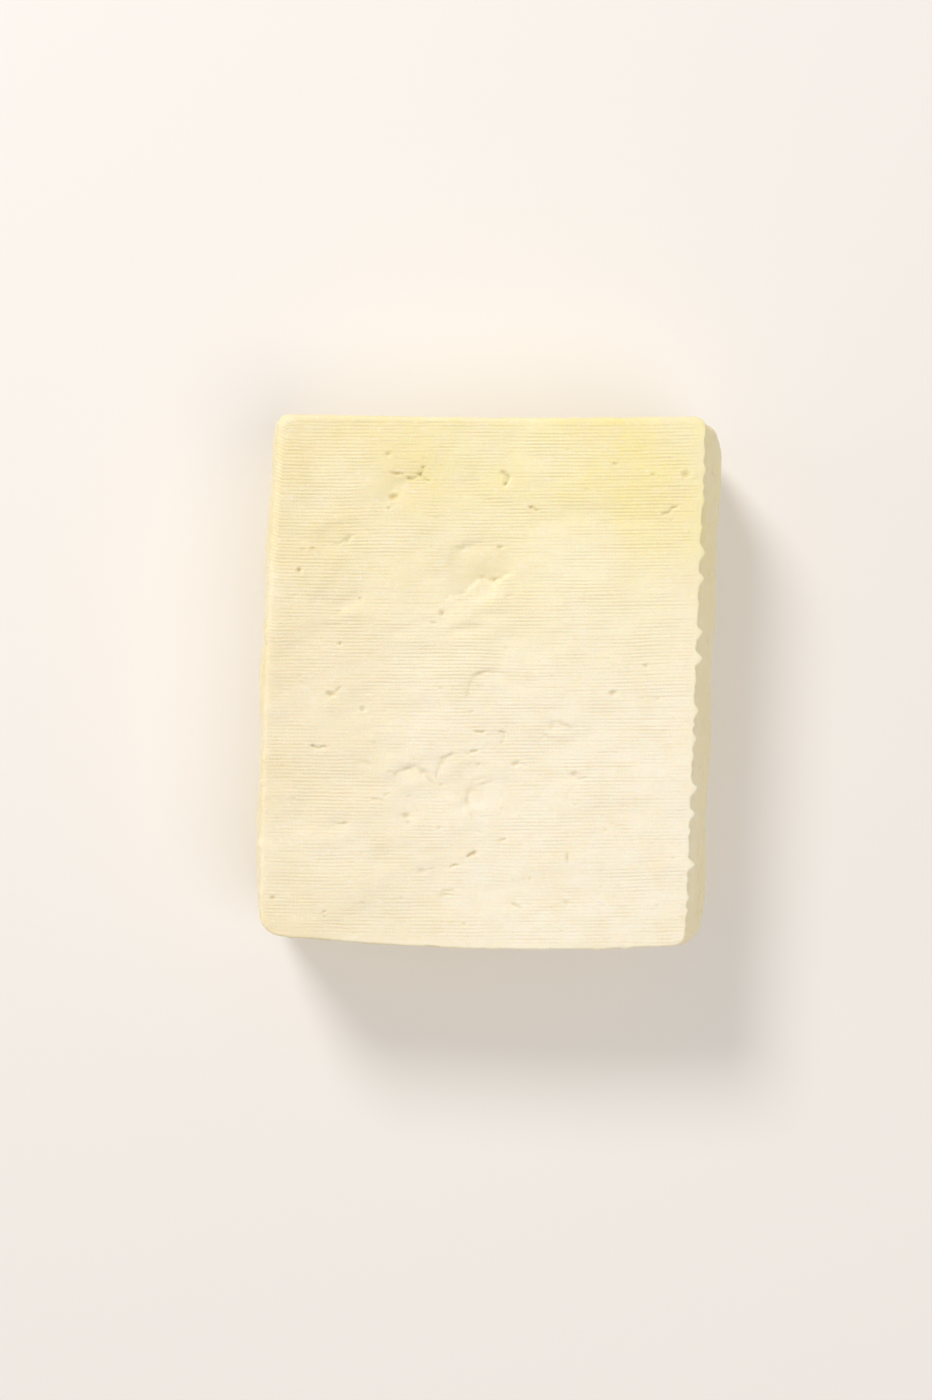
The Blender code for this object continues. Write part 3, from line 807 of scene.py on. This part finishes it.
class Patchwork:
    """Vertices and faces under construction, with what the material and the flat map need."""

    def __init__(self):
        self.points = []
        self.plan = []
        self.rolled = []
        self.values = {name: [] for name in ATTRIBUTES}
        self.count = 0
        self.faces = []
        self.charts = []

    def add(self, points, plan, rolled, **values):
        """Add vertices: plan is their place on the flat charts, rolled that on the sides' chart."""
        first = self.count
        self.points.append(points)
        self.plan.append(plan)
        self.rolled.append(rolled)
        for name in ATTRIBUTES:
            self.values[name].append(np.broadcast_to(values.get(name, 0.0), len(points)))
        self.count += len(points)
        return np.arange(first, self.count)

    def face(self, corners, chart):
        self.faces.append(corners)
        self.charts.append(chart)

    def band(self, above, below, chart):
        """Faces between two closed rings of the same number of vertices."""
        after_above = np.roll(above, -1)
        after_below = np.roll(below, -1)
        faces = np.stack([above, below, after_below, after_above], axis=1).tolist()
        self.faces += faces
        self.charts += [chart] * len(faces)

    def ring(self, above, x, y, z, way, rise, chart, plan=None, **values):
        """Add a ring of vertices below another, with a band of faces if both have as many."""
        points = np.stack([x, y, z], axis=1)
        rolled = np.stack([way, np.broadcast_to(rise, way.shape)], axis=1)
        below = self.add(points, points[:, :2] if plan is None else plan, rolled, **values)
        if len(above) == len(below):
            self.band(above, below, chart)
        return below

    def stitch(self, above, places_above, below, places_below, chart):
        """Triangles between two closed rings with different numbers of vertices."""
        above, below = (np.append(ring, ring[0]) for ring in (above, below))
        ends = (np.append(places, 4.0 + places[0]) for places in (places_above, places_below))
        places_above, places_below = ends
        i = 0
        j = 0
        while i + 1 < len(above) or j + 1 < len(below):
            above_left = i + 1 < len(above)
            below_done = j + 1 == len(below)
            if below_done or (above_left and places_above[i + 1] <= places_below[j + 1]):
                self.face([above[i], below[j], above[i + 1]], chart)
                i += 1
            else:
                self.face([above[i], below[j], below[j + 1]], chart)
                j += 1


def build_top(mesh):
    """The top grid. Returns the ring of its edge vertices with their u, v and height."""
    even = np.linspace(-1.0, 1.0, TOP_COLUMNS + 1)
    crowded = even + COLUMN_CROWDING * np.sin(math.pi * even) / math.pi
    u_grid, v_grid, q_grid = row_places(crowded)
    along_x, along_y = shoulder_sizes(u_grid, v_grid)
    x, y = set_out(u_grid, v_grid, -along_x, -along_y)

    # A cell near a mark is split along X, so the grid lines on both sides of it get more vertices
    middles = (0.25 * (a[1:, 1:] + a[:-1, 1:] + a[1:, :-1] + a[:-1, :-1]) for a in (x, y))
    fine = needs_detail(*middles)
    cells_x, cells_y = fine.shape
    split = np.zeros((cells_x, cells_y + 1), bool)
    split[:, :-1] |= fine
    split[:, 1:] |= fine
    split_i, split_j = np.nonzero(split)
    shares = np.arange(1, FINE_SPLIT) / FINE_SPLIT

    def at_all_vertices(grid):
        start = grid[split_i, split_j][:, None]
        end = grid[split_i + 1, split_j][:, None]
        return np.concatenate([grid.ravel(), lerp(start, end, shares[None, :]).ravel()])

    all_x, all_y, all_q, all_u, all_v = map(at_all_vertices, (x, y, q_grid, u_grid, v_grid))
    height, inside, groove = top_relief(all_x, all_y, all_q)
    points = np.stack([all_x, all_y, HEIGHT + height], axis=1)
    flat = points[:, :2]
    index = mesh.add(points, flat, np.zeros(flat.shape), inside=inside, groove=groove, skin=1.0)

    corner = index[: x.size].reshape(x.shape)
    between = np.full((cells_x, cells_y + 1, FINE_SPLIT - 1), -1)
    between[split_i, split_j] = index[x.size :].reshape(-1, FINE_SPLIT - 1)

    def added(i, j):
        return between[i, j].tolist() if split[i, j] else []

    for i in range(cells_x):
        for j in range(cells_y):
            low = [corner[i, j]] + added(i, j) + [corner[i + 1, j]]
            high = [corner[i, j + 1]] + added(i, j + 1) + [corner[i + 1, j + 1]]
            if len(low) == len(high):
                for k in range(len(low) - 1):
                    mesh.face([low[k], low[k + 1], high[k + 1], high[k]], TOP_CHART)
            else:
                mesh.face(low + high[::-1], TOP_CHART)

    ring = []
    for i in range(cells_x):
        ring += [corner[i, 0]] + added(i, 0)
    ring += corner[-1, :-1].tolist()
    for i in reversed(range(cells_x)):
        ring += [corner[i + 1, -1]] + added(i, -1)[::-1]
    ring += corner[0, :0:-1].tolist()
    local = np.array(ring) - index[0]
    return np.array(ring), all_u[local], all_v[local], points[local, 2]


def edge_place(u, v):
    """Place round the unit square, from 0 at the near left corner, anticlockwise to 4."""
    sides = [v <= -1.0, u >= 1.0, v >= 1.0]
    places = [(u + 1.0) / 2.0, 1.0 + (v + 1.0) / 2.0, 2.0 + (1.0 - u) / 2.0]
    return np.select(sides, places, 3.0 + (1.0 - v) / 2.0)


def square_point(place):
    """The opposite of edge_place: u and v of a place round the unit square."""
    side = np.floor(place).astype(int) % 4
    along = 2.0 * (place - np.floor(place)) - 1.0
    sides = [side == 0, side == 1, side == 2]
    u = np.select(sides, [along, 1.0, -along], -1.0)
    v = np.select(sides, [-1.0, along, 1.0], -along)
    return u, v


# ---- sides and base
def tuck(place, half_length, lost):
    """Share of a side's bulge that is left at a place along it, measured from its middle."""
    into = np.clip(1.0 - (half_length - np.abs(place)) / TUCK_LENGTH, 0.0, 1.0)
    return 1.0 - lost * (1.0 - np.sqrt(1.0 - into * into))


def bulges(u, v):
    """Bulge of the long side and of the end that are nearest."""
    along_x = np.where(u >= 0.0, BULGE_RIGHT, BULGE_LEFT)
    along_y = np.where(v >= 0.0, BULGE_FAR, BULGE_NEAR)
    along_x = along_x * tuck(v * HALF_LENGTH, HALF_LENGTH, by_corner(u, v, TUCKS))
    along_y = along_y * tuck(u * HALF_WIDTH, HALF_WIDTH, TUCK_ENDS)
    return along_x, along_y


def wall_swelling(share):
    """How much of the bulge there is at a share of the wall's height, from the top."""
    if share < BELLY_DEPTH:
        return math.sin(0.5 * math.pi * share / BELLY_DEPTH)
    below = (share - BELLY_DEPTH) / (1.0 - BELLY_DEPTH)
    return 1.0 - BASE_SHRINK * below * below


def wall_wave(x, y, depth):
    along = TAU * (x + y) / WALL_WAVE_LENGTH
    down = TAU * depth / WALL_WAVE_RISE
    return WALL_WAVE * np.sin(along + np.sin(down)) * np.sin(math.pi * depth / HEIGHT)


def side_marks():
    """Seeded pores and short level cracks on the sides: place, depth, sizes and hollow."""
    dice = np.random.default_rng(SIDE_SEED)
    marks = []
    for _ in range(SIDE_PORES):
        radius = dice.uniform(*SIDE_PORE_RADIUS) * dice.uniform(*SIDE_PORE_SHRINK)
        hollow = dice.uniform(*SIDE_PORE_HOLLOW)
        place = (dice.uniform(0.0, 1.0), dice.uniform(*SIDE_PORE_PLACE))
        marks.append((*place, radius, radius, hollow))
    for _ in range(SIDE_CRACKS):
        length = dice.uniform(*SIDE_CRACK_LENGTH)
        place = (dice.uniform(0.0, 1.0), dice.uniform(*SIDE_CRACK_PLACE))
        marks.append((*place, length, SIDE_CRACK_WIDTH, SIDE_CRACK_HOLLOW))
    return marks


def wall_texture(along, depth, perimeter):
    """Curd texture of the sides: outward height, and how deep inside a pore a point is."""
    bend = depth + layered(along, depth, WALL_BEND)
    height = layered(along, bend, WALL_CURDS)
    inside = np.zeros(along.shape)
    for place, mark_depth, half_along, half_down, hollow in side_marks():
        gap = (along - place * perimeter + 0.5 * perimeter) % perimeter - 0.5 * perimeter
        across = gap / half_along
        down = (depth - mark_depth) / half_down
        near = (np.abs(across) < SIDE_MARK_REACH) & (np.abs(down) < SIDE_MARK_REACH)
        share = hollow * bell(across[near], down[near])
        height[near] -= share
        # Painted shade inside the pores and cracks
        inside[near] = np.maximum(inside[near], SIDE_MARK_PAINTED_SHADE * share)
    return height, inside


def perimeter_table():
    """Places round the unit square and the way travelled to each along the outline."""
    places = np.linspace(0.0, 4.0, PERIMETER_STEPS + 1)
    x, y = set_out(*square_point(places), 0.0, 0.0)
    travel = np.concatenate([[0.0], np.cumsum(np.hypot(np.diff(x), np.diff(y)))])
    return places, travel


def build_shoulder(mesh, ring, u, v, top_z, travel):
    """Rounded shoulder between the top grid and the sides."""
    drop = shoulder_drop(u, v)
    along_x, along_y = shoulder_sizes(u, v)
    for i in range(SHOULDER_STEPS):
        angle = 0.5 * math.pi * (i + 1) / SHOULDER_STEPS
        share = math.sin(angle)
        x, y = set_out(u, v, along_x * (share - 1.0), along_y * (share - 1.0))
        plan = np.stack(set_out(u, v, along_x * (angle - 1.0), along_y * (angle - 1.0)), axis=1)
        out_x, out_y = edge_details(x, y, u, v)
        x = x + out_x * share
        y = y + out_y * share
        z = top_z - drop * (1.0 - math.cos(angle))
        skin = 1.0 - SHOULDER_BARE * share
        ring = mesh.ring(ring, x, y, z, travel, HEIGHT, TOP_CHART, plan, skin=skin)
    return ring, top_z - drop


def build_lip(mesh, ring, u, v, wall_top, travel):
    """Torn lip along the right side, and the start of the wall everywhere else."""
    right = np.clip((u - LIP_START) / (1.0 - LIP_START), 0.0, 1.0)
    bulge_x, bulge_y = bulges(u, v)
    for depth in LIP_DEPTHS:
        z = wall_top - depth
        swelling = wall_swelling(depth / (np.mean(wall_top) - BASE_ROUNDING))
        x, y = set_out(u, v, bulge_x * swelling, bulge_y * swelling)
        out_x, out_y = edge_details(x, y, u, v)
        thinning = float(1.0 - smooth_step(0.0, LIP_THICKNESS, depth))
        under = LIP_UNDERCUT * right * bell((depth - LIP_THICKNESS) / LIP_UNDERCUT_SPREAD)
        wave = wall_wave(x, y, HEIGHT - z)
        x = x + out_x * thinning + (wave - under) * u
        y = y + out_y * thinning + wave * v
        # Painted shade under the lip's overhang
        looks = {"inside": LIP_UNDERCUT_PAINTED_SHADE * under, "skin": LIP_SKIN * thinning}
        ring = mesh.ring(ring, x, y, z, travel, HEIGHT - depth, SIDE_CHART, **looks)
    return ring


def build_wall(mesh, lip, order, wall_top, places, travel):
    """Evenly meshed walls with their curd texture, from under the lip to the base rounding.

    Returns the lowest ring with its x, y, u and v and its way round the block.
    """
    perimeter = travel[-1]
    count = round(perimeter / WALL_SPACING)
    even = perimeter * np.arange(count) / count
    wall_places = np.interp(even, travel, places)
    u, v = square_point(wall_places)
    round_again = np.append(order, 4.0 + order[0])
    start_z = np.interp(wall_places, round_again, np.append(wall_top, wall_top[0]))
    rise = np.mean(wall_top) - BASE_ROUNDING
    first = (LIP_DEPTHS[-1] + WALL_SPACING) / rise
    bulge_x, bulge_y = bulges(u, v)
    ring = ()
    for i in range(WALL_ROWS + 1):
        share = lerp(first, 1.0, i / WALL_ROWS)
        swelling = wall_swelling(share)
        z = lerp(start_z, BASE_ROUNDING, share)
        x, y = set_out(u, v, bulge_x * swelling, bulge_y * swelling)
        texture, inside = wall_texture(even, HEIGHT - z, perimeter)
        fade = smooth_step(*WALL_FADE_TOP, i / WALL_ROWS)
        fade = float(fade * (1.0 - smooth_step(*WALL_FADE_FOOT, share)))
        push = wall_wave(x, y, HEIGHT - z) + (texture - WALL_LEVEL) * fade
        x = x + push * u
        y = y + push * v
        ring = mesh.ring(ring, x, y, z, even, z, SIDE_CHART, inside=inside * fade)
        if i == 0:
            mesh.stitch(lip, order, ring, wall_places, SIDE_CHART)
    return ring, x, y, u, v, even


def build_base(mesh, ring, x, y, u, v, travel):
    """Rounding under the walls, whose foot is at x and y, and the flat base."""
    for i in range(BASE_STEPS):
        angle = 0.5 * math.pi * (i + 1) / BASE_STEPS
        inward = BASE_ROUNDING * (1.0 - math.cos(angle))
        z = np.full(len(u), BASE_ROUNDING * (1.0 - math.sin(angle)))
        rise = BASE_ROUNDING * (1.0 - angle)
        at_base = float(i + 1 == BASE_STEPS)
        foot = (x - inward * u, y - inward * v, z)
        ring = mesh.ring(ring, *foot, travel, rise, SIDE_CHART, base=at_base)
    mesh.face(ring[::-1].tolist(), BASE_CHART)


def build_block():
    """The tofu block as one closed mesh, fitted to the CAD node's box."""
    mesh = Patchwork()
    ring, u, v, top_z = build_top(mesh)
    places, travel = perimeter_table()
    order = edge_place(u, v)
    ring_travel = np.interp(order, places, travel)
    ring, wall_top = build_shoulder(mesh, ring, u, v, top_z, ring_travel)
    ring = build_lip(mesh, ring, u, v, wall_top, ring_travel)
    build_base(mesh, *build_wall(mesh, ring, order, wall_top, places, travel))

    points = np.concatenate(mesh.points)
    low, high = (np.array(corner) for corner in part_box(NODE))
    own_low = points.min(axis=0)
    own_high = points.max(axis=0)
    scale = np.minimum(MM, (high - low) / (own_high - own_low))
    points = (points - 0.5 * (own_low + own_high)) * scale
    points[:, :2] += 0.5 * (low + high)[:2]
    points[:, 2] += low[2] - points[:, 2].min()

    data = bpy.data.meshes.new("tofu")
    data.from_pydata(points.tolist(), [], mesh.faces)
    for name, values in mesh.values.items():
        layer = data.attributes.new(name, "FLOAT", "POINT")
        layer.data.foreach_set("value", np.concatenate(values))
    lay_out_map(data, mesh, travel)
    data.shade_smooth()
    return add_object("tofu", data)


def lay_out_map(data, mesh, travel):
    """Flat map of the surface: the top at full scale, the four sides and the base smaller."""
    corners = np.empty(len(data.loops), int)
    data.loops.foreach_get("vertex_index", corners)
    sizes = np.array([len(face) for face in mesh.faces])
    face = np.repeat(np.arange(len(sizes)), sizes)
    chart = np.array(mesh.charts)[face]
    x, y = np.concatenate(mesh.plan)[corners].T
    way, rise = np.concatenate(mesh.rolled)[corners].T

    # Which side a face is on, from the middle of its corners' ways round the block
    turn = np.exp(1j * TAU * way / travel[-1])
    middle = np.bincount(face, turn.real) + 1j * np.bincount(face, turn.imag)
    middle_way = (np.angle(middle) / TAU % 1.0) * travel[-1]
    starts = np.interp([0.0, 1.0, 2.0, 3.0], np.linspace(0.0, 4.0, len(travel)), travel)
    side = (np.searchsorted(starts, middle_way, side="right") - 1)[face]
    local = (way - middle_way[face] + 0.5 * travel[-1]) % travel[-1] - 0.5 * travel[-1]
    local += middle_way[face] - starts[side]

    strips = np.array(MAP_STRIPS)[side]
    side_u = strips[:, 0] + MAP_SIDE_SCALE * (HEIGHT - rise)
    side_v = strips[:, 1] + MAP_SIDE_SCALE * local
    base_u = MAP_BASE[0] - MAP_BASE_SCALE * y
    base_v = MAP_BASE[1] - MAP_BASE_SCALE * x
    is_top = chart == TOP_CHART
    is_side = chart == SIDE_CHART
    map_u = np.where(is_top, MAP_TOP[0] + x, np.where(is_side, side_u, base_u))
    map_v = np.where(is_top, MAP_TOP[1] + y, np.where(is_side, side_v, base_v))
    layer = data.uv_layers.new(name="OFBake")
    layer.uv.foreach_set("vector", (np.stack([map_u, map_v], axis=1) / MAP_SIZE).ravel())


# ---- materials
class Paint:
    """One procedural material under construction."""

    def __init__(self, name):
        self.material = bpy.data.materials.new(name)
        self.material.use_nodes = True
        self.tree = self.material.node_tree
        self.shader = self.tree.nodes["Principled BSDF"]
        self.place = self.node("TexCoord", {})["Object"]

    def fill(self, node, inputs):
        """Give each named input a node output to follow, or a plain value."""
        for name, value in inputs.items():
            if isinstance(value, bpy.types.NodeSocket):
                self.tree.links.new(value, node.inputs[name])
            else:
                node.inputs[name].default_value = value

    def node(self, kind, inputs, **settings):
        """Add a node of the given kind, and return its outputs."""
        node = self.tree.nodes.new("ShaderNode" + kind)
        for name, value in settings.items():
            setattr(node, name, value)
        self.fill(node, inputs)
        return node.outputs

    def attribute(self, name):
        return self.node("Attribute", {}, attribute_name=name)["Fac"]

    def coordinate(self, axis):
        return self.node("SeparateXYZ", {"Vector": self.place})[axis]

    def noise(self, scale, detail, roughness=0.5, stretch=(1.0, 1.0, 1.0)):
        """Noise with features of about 1 / scale metres, longer where stretch is below 1."""
        place = self.node("Mapping", {"Vector": self.place, "Scale": stretch})["Vector"]
        inputs = {"Vector": place, "Scale": scale, "Detail": detail, "Roughness": roughness}
        return self.node("TexNoise", inputs)["Fac"]

    def remap(self, value, low, high, to_low, to_high, smooth=False):
        inputs = {"Value": value, "From Min": low, "From Max": high}
        inputs.update({"To Min": to_low, "To Max": to_high})
        curve = "SMOOTHSTEP" if smooth else "LINEAR"
        return self.node("MapRange", inputs, interpolation_type=curve)["Result"]

    def math(self, operation, first, second=0.0):
        return self.node("Math", {0: first, 1: second}, operation=operation)["Value"]

    def mix(self, factor, first, second):
        inputs = {"Factor": factor, "A": first, "B": second}
        return self.node("Mix", inputs, data_type="RGBA")["Result"]

    def bump(self, height, distance, **below):
        """Bump of the given height in metres, on top of the bump below it."""
        return self.node("Bump", {"Height": height, "Distance": distance, **below})["Normal"]


CREAM = (0.940, 0.858, 0.690, 1.0)
# Colour of painted yellow light
PAINTED_YELLOW_LIGHT = (0.905, 0.785, 0.270, 1.0)
# Colour of painted yellowish shade
PAINTED_LEFT_SHADE = (0.820, 0.700, 0.430, 1.0)
PALE = (0.960, 0.895, 0.760, 1.0)
MELLOW = (0.890, 0.780, 0.540, 1.0)
CURD = (0.925, 0.805, 0.450, 1.0)
# Colour of painted shade in the grooves and marks, with some brown stain in the marks
SHADE_AND_STAIN_BROWN = (0.560, 0.420, 0.150, 1.0)
# Painted light and shade towards an edge: axis, from, to in metres, share, smooth, colour
PAINTED_LIGHT_AND_SHADE = (
    # Painted yellow light over the far end
    ("Y", -0.015, 0.072, 0.92, True, PAINTED_YELLOW_LIGHT),
    # Painted yellowish shade over the left
    ("X", 0.015, -0.060, 0.78, True, PAINTED_LEFT_SHADE),
    # Painted yellow light on the right side
    ("X", 0.046, 0.049, 0.40, False, PAINTED_YELLOW_LIGHT),
)
CURD_SHARE = 0.60  # on the sides, where there is no skin
# Mottling: noise scale, detail and roughness, from, to, share, colour
MOTTLES = (
    (45.0, 3.0, 0.5, 0.35, 0.65, 0.40, PALE),
    (170.0, 4.0, 0.6, 0.42, 0.68, 0.45, MELLOW),
    (520.0, 4.0, 0.65, 0.52, 0.74, 0.40, MELLOW),
    (900.0, 3.0, 0.6, 0.56, 0.72, 0.45, PALE),
)
# Painted shade in the grooves, and painted shade with some brown stain in the marks: attribute,
# from, to, share
MARK_SHADE_AND_STAIN = (("groove", 0.0, 1.2, 0.22), ("inside", 0.04, 1.0, 0.46))
# Roughness, and what moist patches take off it: noise scale and detail, then the noise's range
# and the values it stands for
ROUGH_NOISE = (420.0, 3.0)
ROUGHNESS = (0.3, 0.7, 0.50, 0.68)
MOIST_NOISE = (60.0, 3.0)
MOISTURE = (0.42, 0.62, 0.0, 0.12)
# Bumps, in metres, with their noise: cloth under the base, threads in the skin, bare curd, grain
CLOTH_PITCH = 0.0016
CLOTH_BUMP = 0.00007
THREAD_NOISE = (1250.0, 2.0, 0.5, (1.0, 0.25, 0.25))
THREAD_BUMP = 0.00012
CURD_NOISE = (520.0, 4.0, 0.6)
CURD_BUMP = 0.00045
GRAIN_NOISE = (1800.0, 3.0, 0.6)
GRAIN_BUMP = 0.00008
TOFU_LOOKS = {
    "Specular IOR Level": 0.35,
    "Subsurface Weight": 0.25,
    "Subsurface Radius": (1.0, 0.7, 0.35),
    "Subsurface Scale": 0.0012,
}
FLOOR_LOOKS = {
    "Base Color": (0.870, 0.835, 0.810, 1.0),
    "Roughness": 0.7,
    "Specular IOR Level": 0.2,
}


def tofu_colour(paint):
    """Cream skin, curd-coloured sides, painted yellow light at the far end and right side, painted
    yellowish shade at the left, and painted shade in grooves and marks, with some brown stain in
    the marks.
    """
    colour = CREAM
    # Painted yellow light and yellowish shade towards the edges
    for axis, low, high, share, smooth, tint in PAINTED_LIGHT_AND_SHADE:
        factor = paint.remap(paint.coordinate(axis), low, high, 0.0, share, smooth)
        colour = paint.mix(factor, colour, tint)
    factor = paint.remap(paint.attribute("skin"), 0.0, 1.0, CURD_SHARE, 0.0)
    colour = paint.mix(factor, colour, CURD)
    for scale, detail, roughness, low, high, share, tint in MOTTLES:
        factor = paint.remap(paint.noise(scale, detail, roughness), low, high, 0.0, share)
        colour = paint.mix(factor, colour, tint)
    # Painted shade in the grooves, and painted shade with some brown stain in the marks
    for name, low, high, share in MARK_SHADE_AND_STAIN:
        factor = paint.remap(paint.attribute(name), low, high, 0.0, share)
        colour = paint.mix(factor, colour, SHADE_AND_STAIN_BROWN)
    return colour


def weave(paint):
    """Crossing threads of the cloth under the block, 1 on top of a thread."""
    turns = (paint.math("MULTIPLY", paint.coordinate(axis), TAU / CLOTH_PITCH) for axis in "XY")
    return paint.math("MAXIMUM", *(paint.math("SINE", turn) for turn in turns))


def tofu_material():
    paint = Paint("tofu_skin")
    skin = paint.attribute("skin")
    bare = paint.math("SUBTRACT", 1.0, skin)
    rough = paint.remap(paint.noise(*ROUGH_NOISE), *ROUGHNESS)
    moist = paint.remap(paint.noise(*MOIST_NOISE), *MOISTURE)

    under = paint.math("MULTIPLY", paint.attribute("base"), weave(paint))
    threads = paint.math("MULTIPLY", skin, paint.noise(*THREAD_NOISE))
    curds = paint.math("MULTIPLY", bare, paint.noise(*CURD_NOISE))
    normal = paint.bump(under, CLOTH_BUMP)
    normal = paint.bump(threads, THREAD_BUMP, Normal=normal)
    normal = paint.bump(curds, CURD_BUMP, Normal=normal)
    normal = paint.bump(paint.noise(*GRAIN_NOISE), GRAIN_BUMP, Normal=normal)

    rough = paint.math("SUBTRACT", rough, moist)
    inputs = {"Base Color": tofu_colour(paint), "Roughness": rough, "Normal": normal}
    paint.fill(paint.shader, {**inputs, **TOFU_LOOKS})
    return paint.material


def floor_material():
    paint = Paint("pale_floor")
    paint.fill(paint.shader, FLOOR_LOOKS)
    return paint.material


# ---- floor, light and camera
FLOOR_REACH = 3.0
# Lights: name, place and size in metres, power in watts, colour
LIGHTS = (
    ("key", (-0.54, 0.84, 0.92), 0.44, 9.2, (1.0, 0.990, 0.985)),
    ("top", (0.40, -0.32, 1.15), 0.80, 4.2, (1.0, 0.980, 0.950)),
    ("left", (-0.90, 0.05, 0.22), 0.50, 1.1, (1.0, 0.940, 0.780)),
)
LIGHT_TARGET = Vector((0.0, 0.0, 0.02))
ROOM_COLOUR = (1.0, 0.970, 0.930, 1.0)
ROOM_STRENGTH = 0.46
# Camera straight above the block, which lies a little right of and above the frame's middle
CAMERA_DISTANCE = 0.430
CAMERA_PLACE = (-0.0048, -0.0043)
CAMERA_TURN = 1.5
FRAME_HEIGHT = 0.302
SENSOR = 36.0


def build_floor():
    data = bpy.data.meshes.new("floor")
    signs = ((-1.0, -1.0), (1.0, -1.0), (1.0, 1.0), (-1.0, 1.0))
    corners = [(x * FLOOR_REACH, y * FLOOR_REACH, 0.0) for x, y in signs]
    data.from_pydata(corners, [], [(0, 1, 2, 3)])
    data.materials.append(floor_material())
    add_object("floor", data)


def build_lights():
    for name, place, size, power, colour in LIGHTS:
        data = bpy.data.lights.new(name, "AREA")
        data.shape = "DISK"
        data.size = size
        data.energy = power
        data.color = colour
        light = add_object(name, data)
        light.location = place
        light.rotation_euler = (LIGHT_TARGET - Vector(place)).to_track_quat("-Z", "Y").to_euler()
    world = bpy.data.worlds.new("soft_room")
    world.use_nodes = True
    background = world.node_tree.nodes["Background"]
    background.inputs["Color"].default_value = ROOM_COLOUR
    background.inputs["Strength"].default_value = ROOM_STRENGTH
    bpy.context.scene.world = world


def build_camera():
    data = bpy.data.cameras.new("camera")
    data.sensor_fit = "VERTICAL"
    data.sensor_height = SENSOR
    data.lens = SENSOR * CAMERA_DISTANCE / FRAME_HEIGHT
    camera = add_object("camera", data)
    camera.location = (*CAMERA_PLACE, CAD_BOX[1][2] + CAMERA_DISTANCE)
    camera.rotation_euler = (0.0, 0.0, math.radians(CAMERA_TURN))
    bpy.context.scene.camera = camera
    bpy.context.scene.view_settings.view_transform = "Standard"


build_floor()
block = build_block()
block.data.materials.append(tofu_material())
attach(block, "root")
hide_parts(NODE)
build_lights()
build_camera()
